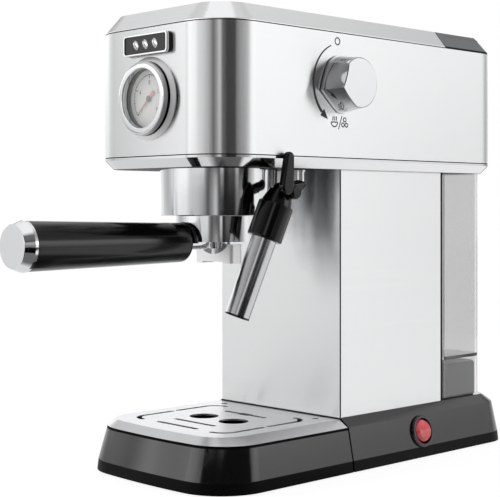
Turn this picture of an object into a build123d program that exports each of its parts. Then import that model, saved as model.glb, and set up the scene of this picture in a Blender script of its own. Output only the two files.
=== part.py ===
"""A slim pump espresso machine, in millimetres.

+Z is up and the front faces -Y. The origin is at table level, in the middle of the base's footprint.
The pieces follow the order in which the machine is put together, from the feet up.
"""

import os
from math import acos, atan2, cos, degrees, radians, sin

from build123d import *

os.makedirs("parts", exist_ok=True)

# Clearances
seam = 0.7  # shadow line between covers that meet
seat_clear = 0.1  # a fixed piece in its pocket
run_clear = 0.05  # a shaft in its bearing, radial
lie_clear = 0.3  # pieces that lie on each other and come apart
slide_clear = 0.6  # pieces that slide past each other

# Base housing and drip tray
base_length = 319.0
base_width = 151.0
base_bow = 5.0  # how far the front edge bows out
base_corner_front = 37.0
base_corner_rear = 26.0
base_wall = 2.6
skirt_z = 1.2  # lower edge of the housing above the table
band_z = 8.9  # top of the lower band
band_inset = 0.9
rim_z = 31.7  # where the side wall turns into the bevel
rim_inset = 5.5
rim_front_inset = 7.5
deck_z = 37.5  # top of the base and of the drip grid
deck_front_inset = 12.5
tray_gap = 1.4  # seam between the tray and the housing
tray_floor = 2.4
tray_overhang = 6.5  # how far the tray stands out in front of the head
tray_shadow = 1.3  # height of the dark line under the grid's border
tray_shadow_depth = 1.4

# Base plate, foot ring and screws
plate_thickness = 3.4
tongue_margin = 5.0  # tongue's border outside the foot ring
foot_side_margin = 19.5  # foot ring's border, in from the base's edge
foot_end_margin = 16.0
foot_ring_corner = 22.0
foot_width = 8.0
foot_groove = 1.2
screw_margin = 8.0  # screws' axes, in from the foot ring's inner edge
screw_front_setback = 18.0  # behind the column's face
screw_rear_setback = 40.0  # ahead of the base's rear edge
screw_radius = 1.8
screw_head_radius = 3.6
screw_head_height = 2.2
screw_length = 14.0
boss_radius = 4.5

# Drip grid
grid_sheet = 1.2
grid_drop = 1.0  # grid's top below the housing's deck
cup_hole_radius = 10.5
cup_hole_x = 15.5
slot_width = 3.8
cross_slot_length = 43.0
cross_slot_front_far = 38.5  # cross slots, measured from the brewing axis
cross_slot_front_near = 22.5
cross_slot_rear = 26.0
finger_notch_length = 13.0
finger_notch_width = 6.5
corner_slot_x = 47.5
corner_slot_bend = 11.0
corner_slot_gap = 6.0  # between the front and the rear pair
corner_slot_front = 39.5
corner_slot_rear = 40.5
drain_hole_radius = 2.4
drain_hole_setback = 9.0

# Column
column_width = 123.8
column_depth = 114.6
column_setback = 123.4  # behind the head's face
column_height = 175.5
column_fold = 0.8
sheet = 1.0

# Head
head_overhang = 8.1  # past the column, on each side
head_length = 305.0
head_corner_front = 32.5
head_corner_rear = 24.5
bezel_chamfer = 5.8
bezel_band = 1.6
bezel_wall = 2.0
lip_height = 5.0
lip_thickness = 1.6
sleeve_height = 86.4
cap_band = 0.5
cap_rise = 12.2
cap_inset = 10.3
cap_wall = 2.4
lid_length = 71.4
lid_gap = 0.8
lid_shadow = 0.9  # the lid's edge stands this much higher than the cover's
partition_thickness = 2.0

# Water tank and its dock
tank_gap = 3.4  # dark strip between the column and the tank
tank_strip_clear = 0.6
tank_depth = 49.6
tank_wall = 2.4
tank_corner_front = 3.0
tank_corner_rear = 8.0
tank_foot_gap = 1.5
tank_floor_rise = 30.6  # underside of the floor above the deck
tank_floor = 2.4
tank_top_drop = 4.5  # below the sleeve's top edge
dock_clear = 1.0
dock_height = 27.4
dock_round = 3.5
dock_seat_radius = 15.0
dock_spigot_radius = 4.5
dock_spigot_length = 10.0
valve_stem_radius = 5.5
valve_stem_length = 22.0
valve_flange_radius = 9.0
valve_flange_height = 2.5
water_bore = 2.0  # radius of the bores that carry water

# Nameplate
plate_width = 46.0
plate_height = 14.0
plate_corner = 2.2
plate_depth = 3.2
plate_rim_height = 0.8
plate_rim_width = 1.1
plate_drop = 11.5  # centre below the sleeve's top edge

# Pressure gauge
gauge_drop = 48.1  # centre below the sleeve's top edge
boss_disc_radius = 28.2
boss_disc_height = 2.4
boss_disc_edge = 0.3
boss_flat_radius = 25.3
gauge_case_radius = 22.0
gauge_case_depth = 24.0
gauge_case_wall = 2.0
gauge_bezel_radius = 25.0
gauge_bezel_height = 5.2
gauge_bezel_round = 2.2
gauge_bezel_inner_round = 0.8
gauge_opening_radius = 19.8
lens_radius = 21.1
lens_thickness = 1.2
dial_setback = 0.4  # dial's face behind the head's face
dial_thickness = 0.8
movement_radius = 9.0
needle_length = 15.0
needle_tail = 7.0
needle_width = 1.5
needle_tail_width = 2.6
needle_thickness = 0.5
needle_lift = 0.7  # above the dial
needle_hub_radius = 2.2
needle_arbor_radius = 0.8
needle_arbor_length = 10.0
needle_rest_angle = 221.0  # counter-clockwise from +X, seen from the front

# Brew group, on the brewing axis
group_setback = 63.5  # behind the head's face
skirt_radius = 41.8
skirt_taper = 0.8
skirt_height = 32.6
skirt_wall = 1.5
skirt_mouth_radius = 32.6
group_radius = 38.6
group_flange_radius = 43.0
group_flange_height = 4.0
bayonet_lip_drop = 27.0  # underside of the lip, below the bezel
bayonet_lip_height = 3.6
bayonet_height = 6.6
bayonet_radius = 36.2
bayonet_notch_half_angle = 13.0
unlock_angle = -45.0
gasket_height = 3.6
gasket_bore_radius = 24.6
screen_radius = 24.2
screen_thickness = 1.2
screen_hole_radius = 0.9
shower_screw_radius = 2.5
shower_screw_head_radius = 4.5
shower_screw_head_height = 2.0
screw_slot_width = 1.0
screw_slot_depth = 1.0

# Filter holder
ring_radius = 30.85
ring_wall = 3.2
ring_height = 32.2
ring_floor = 3.0
ear_radius = 35.6
ear_half_angle = 10.0
ear_height = 4.6
boss_drop = 5.0
holder_boss_radius = 8.5
spout_length = 38.0
spout_width = 11.0
spout_height = 13.4  # from the feet to the tops of its two ends
spout_drop = 2.0  # tops of the ends below the holder's ring
spout_corner = 2.6
spout_shoulder = 3.0  # level part of each end's top
spout_dip = 7.0  # how far the saddle between the ends sinks
spout_foot = 7.4
spout_foot_rise = 1.0
spout_pitch = 29.0
spout_bore_radius = 3.0
spout_channel_radius = 1.8
spout_channel_rise = 3.4
spout_stem_radius = 5.2
basket_rim_radius = 30.2
basket_rim_thickness = 1.0
basket_radius = 27.2
basket_depth = 21.0
basket_taper = 1.2
basket_sheet = 0.8
neck_radius = 5.4
neck_root = 14.0  # neck's start and end from the brewing axis
neck_reach = 38.5
handle_drop = 0.3  # axis below the ring's lower edge
handle_front_reach = 34.1
handle_rear_reach = 163.1
handle_cap_length = 8.7
handle_cap_band = 2.0
handle_front_radius = 13.5
handle_rear_radius = 16.05
handle_front_round = 3.2
handle_cap_radius = 16.3
handle_cap_taper = 2.4
handle_cap_round = 0.5
stud_radius = 3.0
stud_engagement = 5.5
guard_radius = 14.0
guard_thickness = 2.6
guard_lower_edge = 0.5
guard_round = 1.1

# Works in the head and column
block_width = 92.0
block_depth = 68.0
block_height = 34.0
block_groove = 2.0
frame_setback = 58.0  # behind the column's face
frame_width = 104.0
frame_sheet = 2.0
frame_flange = 20.0
pump_x = -18.0
pump_setback = 30.0
pump_z = 62.0
coil_width = 38.0
coil_depth = 34.0
coil_height = 52.0
pump_radius = 10.0
pump_neck_height = 22.0
pump_port_radius = 4.0
pump_port_height = 6.0
mount_radius = 7.0
board_width = 70.0
board_height = 96.0
board_thickness = 1.6
board_z = 80.0
standoff_radius = 3.0
standoff_height = 6.0
relay_size = 18.0
hose_radius = 3.0
hose_bore = 1.8
hose_bend = 8.0
gauge_tube_radius = 1.5

# Steam valve and knob
knob_setback = 115.5
knob_drop = 35.5  # axis below the sleeve's top edge
knob_gap = 0.6
knob_length = 17.4
knob_lip = 1.3  # flange at the knob's foot
knob_lip_step = 0.9
knob_base_radius = 20.3
knob_base_reach = 22.8
knob_base_hollow = 0.8  # how far the upper flank sinks in
knob_face_radius = 17.4
knob_face_reach = 18.2
knob_face_hollow = 3.0
knob_flank = 1.4  # how far the lower flank sinks in
knob_pointer_angle = 194.0
knob_edge = 0.9
knob_hollow_radius = 11.5
knob_hollow_depth = 5.0
valve_body = 26.0
valve_inner_x = 27.0
valve_neck_radius = 5.5
valve_collar_radius = 9.0
valve_collar = 2.0
nut_across_flats = 16.0
nut_thickness = 3.0
spindle_radius = 3.0
spindle_inner_x = 44.0
spindle_end_gap = 4.0  # spindle's end behind the knob's face

# Steam wand
pipe_inset = 14.0  # in from the head's side
pipe_setback = 88.5
pipe_radius = 3.0
pipe_bore = 1.8
bush_flange_radius = 7.4
bush_flange = 0.8
bush_radius = 6.6
bush_height = 22.0
bush_roof = 2.5
pipe_collar_radius = 3.9
pipe_collar = 1.0
elbow_drop = 11.2  # arm's axis below the bezel
elbow_radius = 6.4
arm_radius = 3.9
socket_rise = 1.6
socket_depth = 2.0  # pipe's end below the arm's axis
wand_top_inset = 8.5  # in from the head's side
wand_top_setback = 59.7
wand_top_drop = 24.7
wand_lean = (-11.5, -25.6, -74.8)  # from the sleeve's top towards the tip
cone_height = 9.0
cone_radius = 8.0
cone_base_radius = 10.6
grip_radius = 12.0
grip_length = 24.6
grip_round = 1.0
spigot_radius = 7.3
spigot_length = 12.0
frother_radius = 8.6
frother_wall = 0.7
frother_length = 54.0
nozzle_radius = 3.4
nozzle_length = 46.0
paddle_gap = 1.0  # between the head's side and the paddle
paddle_thickness = 5.2
paddle_low_radius = 5.6
paddle_low_setback = 57.4
paddle_low_drop = 13.0
paddle_top_radius = 3.7
paddle_top_setback = 59.4
paddle_top_rise = 6.6  # above the bezel
paddle_round = 2.0
pivot_setback = 65.2
pivot_drop = 16.4
pivot_radius = 5.0
pivot_round = 2.0

# Rocker switch and cord gland
switch_setback = 201.5
switch_z = 19.9
switch_flange_radius = 11.8
switch_flange = 2.2
switch_barrel_radius = 10.6
switch_depth = 17.0
switch_well_depth = 9.0
switch_opening_radius = 9.5
rocker_radius = 9.1
rocker_pivot_depth = 2.6
rocker_crown = 6.6  # highest point above the pivot
rocker_foot = 3.6
rocker_tilt = 8.0
trunnion_radius = 1.2
trunnion_engagement = 0.7
gland_x = 40.0
gland_z = 19.3
gland_flange_radius = 8.5
gland_flange = 2.4
gland_radius = 6.0
gland_depth = 9.0
gland_bore = 3.6

# Places worked out from the sizes above
face_y = -base_length / 2 + tray_overhang
head_width = column_width + 2 * head_overhang
foot_ring_width = base_width - 2 * foot_side_margin
foot_ring_length = base_length - 2 * foot_end_margin
screw_x = foot_ring_width / 2 - foot_width - screw_margin
grid_top_z = deck_z - grid_drop
handle_end_reach = handle_rear_reach + handle_cap_length
back_y = face_y + head_length
head_side = head_width / 2
column_y = face_y + column_setback
column_back_y = column_y + column_depth
column_side = column_width / 2
deck_inset = base_width / 2 - column_side
bezel_z = deck_z + column_height
bezel_edge_z = bezel_z + bezel_chamfer
bezel_floor_z = bezel_z + bezel_wall
sleeve_z = bezel_edge_z + bezel_band + seam
sleeve_top_z = sleeve_z + sleeve_height
cap_z = sleeve_top_z + seam
cap_edge_z = cap_z + cap_band
top_z = cap_edge_z + cap_rise
lid_y = back_y - lid_length
group_y = face_y + group_setback
tank_y = column_back_y + tank_gap
tank_back_y = tank_y + tank_depth
tank_mid_y = (tank_y + tank_back_y) / 2
tank_z = deck_z + tank_foot_gap
tank_floor_z = deck_z + tank_floor_rise
tank_top_z = sleeve_top_z - tank_top_drop
knob_y = face_y + knob_setback
knob_z = sleeve_top_z - knob_drop
plate_top_z = skirt_z + plate_thickness
pump_y = column_y + pump_setback
frame_y = column_y + frame_setback
pipe_x = head_side - pipe_inset
pipe_y = face_y + pipe_setback
wand_top_x = head_side - wand_top_inset
side_lean = degrees(atan2(rim_inset - band_inset, rim_z - band_z))
GROW = (Align.CENTER, Align.CENTER, Align.MIN)  # a solid that grows from its location
HANG = (Align.CENTER, Align.CENTER, Align.MAX)  # a solid that hangs from its location


def write(piece, name):
    """Name a finished piece and write its file."""
    piece.part.label = name
    export_step(piece.part, f"parts/{name}.step")


def cut_at(y):
    """An upright plane across the machine, with its front side towards -Y."""
    return Plane.XZ.offset(-y)


def turned(points, plane):
    """A closed profile of (radius, height) points, ready to be turned."""
    with BuildSketch(plane) as profile:
        with BuildLine():
            Polyline(*points, close=True)
        make_face()
    return profile.sketch


def tube(points, bend, radius, bore):
    """A hose along straight runs and round bends."""
    with BuildPart() as hose:
        with BuildLine() as route:
            FilletPolyline(*points, radius=bend)
        with BuildSketch(Plane(route.line @ 0, z_dir=route.line % 0)):
            Circle(radius)
            Circle(bore, mode=Mode.SUBTRACT)
        sweep()
    return hose


# Base outline: one plan for each height where the wall changes its slope
def base_plan(z, side, front):
    """The base's outline at height z, drawn in from its widest outline by side and front."""
    half = base_width / 2 - side
    front_y = -base_length / 2 + front
    rear_y = base_length / 2 - side
    with BuildSketch(Plane.XY.offset(z)) as plan:
        with BuildLine():
            Polyline((half, front_y + base_bow), (half, rear_y), (-half, rear_y), (-half, front_y + base_bow))
            ThreePointArc((-half, front_y + base_bow), (0, front_y), (half, front_y + base_bow))
        make_face()
        fillet(plan.vertices().group_by(Axis.Y)[0], base_corner_front - side)
        fillet(plan.vertices().group_by(Axis.Y)[-1], base_corner_rear - side)
    return plan.sketch


def base_sections(levels, wall=0.0):
    """Outlines at several levels, drawn in by a wall."""
    return [base_plan(z, side + wall, front + wall) for z, side, front in levels]


def wall_inset(z):
    """How far the leaning side wall stands in at height z."""
    return band_inset + (rim_inset - band_inset) * (z - band_z) / (rim_z - band_z)


def wall_level(z):
    """The leaning wall's level at height z: height, side inset and front inset."""
    front = band_inset + (rim_front_inset - band_inset) * (z - band_z) / (rim_z - band_z)
    return (z, wall_inset(z), front)


skirt_level = (skirt_z, 0.0, 0.0)
table_level = (0.0, 0.0, 0.0)
band_level = (band_z, band_inset, band_inset)
rim_level = (rim_z, rim_inset, rim_front_inset)
deck_level = (deck_z, deck_inset, deck_front_inset)
base_front_y = -base_length / 2
base_back_y = base_length / 2
screw_spots = [
    (x, y)
    for x in (-screw_x, screw_x)
    for y in (column_y + screw_front_setback, base_back_y - screw_rear_setback)
]

# Rubber foot ring, pressed into a groove under the base plate
with BuildPart() as foot_ring:
    with BuildSketch():
        RectangleRounded(foot_ring_width, foot_ring_length, foot_ring_corner)
        offset(amount=-foot_width, mode=Mode.SUBTRACT)
    extrude(amount=skirt_z + foot_groove)
write(foot_ring, "foot_ring")

# Base plate, with a tongue that carries the drip tray
plate_inset = base_wall + band_inset + seat_clear
plate_front_y = column_y + base_wall + seat_clear
tongue_width = foot_ring_width + 2 * tongue_margin
tongue_length = foot_ring_length + 2 * tongue_margin
with BuildPart() as base_plate:
    extrude(base_plan(skirt_z, plate_inset, plate_inset), amount=plate_thickness)
    split(bisect_by=cut_at(plate_front_y), keep=Keep.BOTTOM)
    with BuildSketch(Plane.XY.offset(skirt_z)):
        RectangleRounded(tongue_width, tongue_length, foot_ring_corner + tongue_margin)
    extrude(amount=plate_thickness)
    with BuildSketch(Plane.XY.offset(skirt_z)):
        RectangleRounded(foot_ring_width + 2 * seat_clear, foot_ring_length + 2 * seat_clear, foot_ring_corner)
        offset(amount=-foot_width - 2 * seat_clear, mode=Mode.SUBTRACT)
    extrude(amount=foot_groove, mode=Mode.SUBTRACT)
    with Locations(*[Plane((x, y, skirt_z), z_dir=(0, 0, -1)) for x, y in screw_spots]):
        CounterBoreHole(screw_radius + seat_clear, screw_head_radius + seat_clear, screw_head_height)
write(base_plate, "base_plate")

# Screws that hold the plate to the housing
with BuildPart() as base_screws:
    with Locations(*[(x, y, skirt_z) for x, y in screw_spots]):
        Cylinder(screw_head_radius, screw_head_height, align=GROW)
        Cylinder(screw_radius, screw_length, align=GROW)
    with Locations(*[(x, y, skirt_z) for x, y in screw_spots]):
        Box(screw_head_radius, screw_radius / 2, screw_head_height, mode=Mode.SUBTRACT)
write(base_screws, "base_screws")

# Base housing: a black shell behind the tray, open underneath
switch_plane = Plane(
    (base_width / 2 - wall_inset(switch_z), face_y + switch_setback, switch_z),
    x_dir=(0, 1, 0),
    z_dir=(cos(radians(side_lean)), 0, sin(radians(side_lean))),
)
gland_plane = Plane(
    (gland_x, base_back_y - wall_inset(gland_z), gland_z),
    x_dir=(-1, 0, 0),
    z_dir=(0, cos(radians(side_lean)), sin(radians(side_lean))),
)
service_y = (column_y + column_back_y) / 2
service_width = column_width - 2 * frame_flange
service_length = column_depth - 2 * frame_flange
roof_level = (deck_z - base_wall, deck_inset, deck_front_inset)
shoulder_level = (rim_z - base_wall / 2, rim_inset, rim_front_inset)
with BuildPart() as base_cavity:
    loft(base_sections([table_level, band_level, shoulder_level, roof_level], base_wall), ruled=True)
    split(bisect_by=cut_at(column_y + base_wall), keep=Keep.BOTTOM)
with BuildPart() as base_shell:
    loft(base_sections([skirt_level, band_level, rim_level, deck_level]), ruled=True)
    split(bisect_by=cut_at(column_y), keep=Keep.BOTTOM)
    add(base_cavity.part, mode=Mode.SUBTRACT)
    with Locations((0, column_y + base_wall / 2, skirt_z)):
        Box(tongue_width + 2 * lie_clear, 2 * base_wall, plate_thickness + lie_clear, align=GROW, mode=Mode.SUBTRACT)
    with Locations(*[(x, y, plate_top_z) for x, y in screw_spots]):
        Cylinder(boss_radius, deck_z - base_wall - plate_top_z, align=GROW)
        Cylinder(screw_radius + seat_clear, screw_length, align=GROW, mode=Mode.SUBTRACT)
    with Locations((0, service_y, deck_z)):
        Box(service_width, service_length, 3 * base_wall, mode=Mode.SUBTRACT)
    with Locations((0, tank_mid_y, deck_z)):
        Cylinder(dock_spigot_radius + seat_clear, 3 * base_wall, mode=Mode.SUBTRACT)
    with Locations(switch_plane):
        Cylinder(switch_barrel_radius + seat_clear, 4 * base_wall, mode=Mode.SUBTRACT)
    with Locations(gland_plane):
        Cylinder(gland_radius + seat_clear, 4 * base_wall, mode=Mode.SUBTRACT)
write(base_shell, "base_shell")

# Gland in the rear wall, where the mains cord would enter
with BuildPart() as cord_gland:
    with Locations(gland_plane):
        Cylinder(gland_flange_radius, gland_flange, align=GROW)
        Cylinder(gland_radius, gland_depth, align=HANG)
    fillet(cord_gland.edges().filter_by(GeomType.CIRCLE).sort_by(Axis.Y)[-1], gland_flange / 2)
    with Locations(gland_plane):
        Cylinder(gland_bore, 4 * gland_depth, mode=Mode.SUBTRACT)
write(cord_gland, "cord_gland")

# Switch body with its round bezel, let into the right wall
pivot_plane = switch_plane.offset(-rocker_pivot_depth)
trunnion_plane = Plane(pivot_plane.origin, z_dir=pivot_plane.x_dir)
trunnion_reach = switch_opening_radius + trunnion_engagement
with BuildPart() as switch_body:
    with Locations(switch_plane):
        Cylinder(switch_flange_radius, switch_flange, align=GROW)
        Cylinder(switch_barrel_radius, switch_depth, align=HANG)
    fillet(switch_body.edges().filter_by(GeomType.CIRCLE).sort_by(Axis.X)[-1], switch_flange / 2)
    with Locations(switch_plane.offset(-switch_well_depth)):
        Cylinder(switch_opening_radius, switch_well_depth + 2 * switch_flange, align=GROW, mode=Mode.SUBTRACT)
    with Locations(trunnion_plane):
        Cylinder(trunnion_radius + run_clear, 2 * trunnion_reach + 4 * run_clear, mode=Mode.SUBTRACT)
write(switch_body, "switch_body")

# Red rocker: a ball cut to a two-sided crown, resting on its lower side
rest_plane = Plane(pivot_plane.location * Rotation(-rocker_tilt, 0, 0))
with BuildPart() as rocker:
    with Locations(rest_plane):
        Sphere(rocker_radius)
    with Locations(rest_plane.offset(-rocker_foot)):
        Box(3 * rocker_radius, 3 * rocker_radius, 2 * rocker_radius, align=HANG, mode=Mode.SUBTRACT)
    for turn in (-rocker_tilt, rocker_tilt):
        with Locations(rest_plane.offset(rocker_crown).location * Rotation(turn, 0, 0)):
            Box(3 * rocker_radius, 3 * rocker_radius, 2 * rocker_radius, align=GROW, mode=Mode.SUBTRACT)
    with Locations(trunnion_plane):
        Cylinder(trunnion_radius, 2 * trunnion_reach)
write(rocker, "rocker")

# Drip tray: a deep black box that slides on the tongue
tray_back_y = column_y - tray_gap
tray_top_z = rim_z - lie_clear
tray_floor_z = plate_top_z + lie_clear
tray_top_level = wall_level(tray_top_z)
shadow_level = wall_level(rim_z - tray_shadow)
open_level = (rim_z + base_wall, rim_inset, rim_front_inset)
basin_level = (tray_floor_z + tray_floor, band_inset, band_inset)
with BuildPart() as tray_basin:
    loft(base_sections([basin_level, open_level], base_wall), ruled=True)
    split(bisect_by=cut_at(tray_back_y - base_wall), keep=Keep.TOP)
with BuildPart() as drip_tray:
    loft(base_sections([skirt_level, band_level, shadow_level]), ruled=True)
    loft(base_sections([shadow_level, tray_top_level], tray_shadow_depth), ruled=True)
    split(bisect_by=cut_at(tray_back_y), keep=Keep.TOP)
    add(tray_basin.part, mode=Mode.SUBTRACT)
    extrude(base_plan(0, base_wall + band_inset, base_wall + band_inset), amount=tray_floor_z, mode=Mode.SUBTRACT)
write(drip_tray, "drip_tray")

# Steel drip grid: a pressed plate with a bevelled border, slots and two cup holes
grid_edge_level = (rim_z, rim_inset, rim_front_inset)
grid_under_level = (rim_z - grid_sheet, rim_inset, rim_front_inset)
grid_top_level = (grid_top_z, deck_inset, deck_front_inset)
grid_roof_level = (grid_top_z - grid_sheet, deck_inset, deck_front_inset)
with BuildPart() as grid_hollow:
    loft(base_sections([grid_under_level, grid_roof_level], grid_sheet), ruled=True)
with BuildPart() as drip_grid:
    loft(base_sections([grid_edge_level, grid_top_level]), ruled=True)
    add(grid_hollow.part, mode=Mode.SUBTRACT)
    split(bisect_by=cut_at(tray_back_y), keep=Keep.TOP)
    with BuildSketch(Plane.XY.offset(grid_top_z)) as openings:
        with Locations((-cup_hole_x, group_y), (cup_hole_x, group_y)):
            Circle(cup_hole_radius)
        with Locations(
            (0, group_y - cross_slot_front_far),
            (0, group_y - cross_slot_front_near),
            (0, group_y + cross_slot_rear),
        ):
            SlotOverall(cross_slot_length, slot_width)
        with Locations((0, group_y + cross_slot_rear)):
            SlotOverall(finger_notch_length, finger_notch_width)
        for side in (-1, 1):
            for way, reach in ((-1, corner_slot_front), (1, corner_slot_rear)):
                start = (side * corner_slot_x, group_y + way * corner_slot_gap / 2)
                bend = (side * corner_slot_x, group_y + way * (reach - corner_slot_bend))
                end = (side * (corner_slot_x - corner_slot_bend), group_y + way * reach)
                middle = (
                    side * (corner_slot_x - corner_slot_bend * (1 - cos(radians(45)))),
                    group_y + way * (reach - corner_slot_bend * (1 - sin(radians(45)))),
                )
                with BuildLine(mode=Mode.PRIVATE) as path:
                    Line(start, bend)
                    ThreePointArc(bend, middle, end)
                SlotArc(path.wire(), slot_width)
        with Locations(*[(x, tray_back_y - drain_hole_setback) for x in (-corner_slot_x, corner_slot_x)]):
            Circle(drain_hole_radius)
    extrude(amount=-2 * grid_sheet, mode=Mode.SUBTRACT)
write(drip_grid, "drip_grid")


# Water tank plan, shared by the tank, the dock and the opening in the bezel
def tank_plan(z, inset):
    """The tank's outline at height z, drawn in by inset."""
    with BuildSketch(Plane.XY.offset(z)) as plan:
        with Locations((0, tank_mid_y)):
            Rectangle(column_width - 2 * inset, tank_depth - 2 * inset)
        front_radius = max(tank_corner_front - inset, tank_corner_front / 4)
        rear_radius = max(tank_corner_rear - inset, tank_corner_rear / 4)
        fillet(plan.vertices().group_by(Axis.Y)[0], front_radius)
        fillet(plan.vertices().group_by(Axis.Y)[-1], rear_radius)
    return plan.sketch


# Dock: a dark pedestal on the deck that the tank's skirt goes over
dock_top_z = deck_z + dock_height
with BuildPart() as tank_dock:
    extrude(tank_plan(deck_z, tank_wall + dock_clear), amount=dock_height)
    fillet(tank_dock.faces().sort_by(Axis.Z)[-1].edges(), dock_round)
    with Locations((0, tank_mid_y, dock_top_z)):
        Cylinder(dock_seat_radius, tank_floor_z - lie_clear - dock_top_z, align=GROW)
    with Locations((0, tank_mid_y, deck_z)):
        Cylinder(dock_spigot_radius, dock_spigot_length, align=HANG)
    with Locations((0, tank_mid_y, tank_floor_z)):
        Cylinder(valve_stem_radius + lie_clear, valve_stem_length + lie_clear, align=HANG, mode=Mode.SUBTRACT)
        Cylinder(water_bore, 3 * tank_floor_rise, mode=Mode.SUBTRACT)
write(tank_dock, "tank_dock")

# Water tank: clear smoked walls, a floor well above the deck, a skirt round the dock
with BuildPart() as water_tank:
    extrude(tank_plan(tank_z, 0), amount=tank_top_z - tank_z)
    extrude(tank_plan(tank_floor_z + tank_floor, tank_wall), amount=tank_top_z, mode=Mode.SUBTRACT)
    extrude(tank_plan(0, tank_wall), amount=tank_floor_z, mode=Mode.SUBTRACT)
    with Locations((0, tank_mid_y, tank_floor_z)):
        Cylinder(valve_stem_radius + seat_clear, 3 * tank_floor, mode=Mode.SUBTRACT)
write(water_tank, "water_tank")

# Tank valve: a flanged stem through the tank's floor that opens in the dock
with BuildPart() as tank_valve:
    with Locations((0, tank_mid_y, tank_floor_z + tank_floor)):
        Cylinder(valve_flange_radius, valve_flange_height, align=GROW)
    with Locations((0, tank_mid_y, tank_floor_z + tank_floor)):
        Cylinder(valve_stem_radius, valve_stem_length + tank_floor, align=HANG)
        Cylinder(water_bore, 4 * valve_stem_length, mode=Mode.SUBTRACT)
write(tank_valve, "tank_valve")

# Column: one folded stainless sheet, closed at the back by a black panel
with BuildPart() as column_wrap:
    with BuildSketch(Plane.XY.offset(deck_z)):
        with Locations((0, service_y)):
            Rectangle(column_width, column_depth)
        with Locations((0, service_y + sheet)):
            Rectangle(column_width - 2 * sheet, column_depth, mode=Mode.SUBTRACT)
    extrude(amount=column_height)
    fillet(column_wrap.edges().filter_by(Axis.Z).group_by(Axis.Y)[0], column_fold)
write(column_wrap, "column_wrap")

strip_depth = tank_gap - tank_strip_clear
with BuildPart() as column_back:
    with Locations((0, column_back_y, deck_z)):
        Box(
            column_width - 2 * seam,
            strip_depth,
            column_height,
            align=(Align.CENTER, Align.MIN, Align.MIN),
        )
        Box(
            column_width - 2 * sheet - 2 * seat_clear,
            strip_depth,
            column_height,
            align=(Align.CENTER, Align.MAX, Align.MIN),
        )
write(column_back, "column_back")

# Chassis frame: a folded plate across the column that carries the pump and the board
with BuildPart() as chassis_frame:
    with Locations((0, frame_y, deck_z)):
        Box(frame_width, frame_sheet, column_height, align=(Align.CENTER, Align.MIN, Align.MIN))
    with Locations((0, frame_y, bezel_z)):
        Box(frame_width, frame_flange, frame_sheet, align=(Align.CENTER, Align.MIN, Align.MAX))
    for side in (-1, 1):
        with Locations((side * frame_width / 2, frame_y, deck_z)):
            Box(
                frame_sheet,
                column_back_y - frame_y - strip_depth,
                column_height,
                align=(Align.MIN if side < 0 else Align.MAX, Align.MIN, Align.MIN),
            )
write(chassis_frame, "chassis_frame")

# Pump: a coil block on a brass barrel, held to the frame by two rubber mounts
coil_back_y = pump_y + coil_depth / 2
coil_top_z = pump_z + coil_height
with BuildPart() as pump:
    with Locations((pump_x, pump_y, pump_z)):
        Box(coil_width, coil_depth, coil_height, align=GROW)
    fillet(pump.edges().filter_by(Axis.Z), pump_port_radius)
    with Locations((pump_x, pump_y, coil_top_z)):
        Cylinder(pump_radius, pump_neck_height, align=GROW)
    with Locations((pump_x, pump_y, coil_top_z + pump_neck_height)):
        Cylinder(pump_port_radius, pump_port_height, align=GROW)
    with Locations((pump_x, pump_y, pump_z)):
        Cylinder(pump_port_radius, pump_port_height, align=HANG)
        Cylinder(water_bore, 5 * coil_height, mode=Mode.SUBTRACT)
write(pump, "pump")

with BuildPart() as pump_mounts:
    for share in (1 / 4, 3 / 4):
        with Locations(Plane((pump_x, coil_back_y, pump_z + share * coil_height), z_dir=(0, 1, 0))):
            Cylinder(mount_radius, frame_y - coil_back_y, align=GROW)
write(pump_mounts, "pump_mounts")

# Control board on stand-offs behind the frame
board_y = frame_y + frame_sheet + standoff_height
with BuildPart() as control_board:
    with Locations((0, board_y, board_z)):
        Box(board_width, board_thickness, board_height, align=(Align.CENTER, Align.MIN, Align.MIN))
    with Locations(Plane((0, board_y, board_z + board_height / 2), x_dir=(1, 0, 0), z_dir=(0, -1, 0))):
        with GridLocations(board_width - relay_size, board_height - relay_size, 2, 2):
            Cylinder(standoff_radius, standoff_height, align=GROW)
    with Locations(
        Plane((0, board_y + board_thickness, board_z + board_height / 2), x_dir=(1, 0, 0), z_dir=(0, 1, 0))
    ):
        with GridLocations(1.5 * relay_size, 2 * relay_size, 2, 2):
            Box(relay_size, relay_size, relay_size, align=GROW)
write(control_board, "control_board")


# Head plan, shared by the bezel, the sleeve and the cap
def head_plan(z, inset=0.0):
    """The head's outline at height z, drawn in by inset."""
    with BuildSketch(Plane.XY.offset(z)) as plan:
        with Locations((0, (face_y + back_y) / 2)):
            Rectangle(head_width - 2 * inset, head_length - 2 * inset)
        fillet(plan.vertices().group_by(Axis.Y)[0], head_corner_front - inset)
        fillet(plan.vertices().group_by(Axis.Y)[-1], head_corner_rear - inset)
    return plan.sketch


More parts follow.
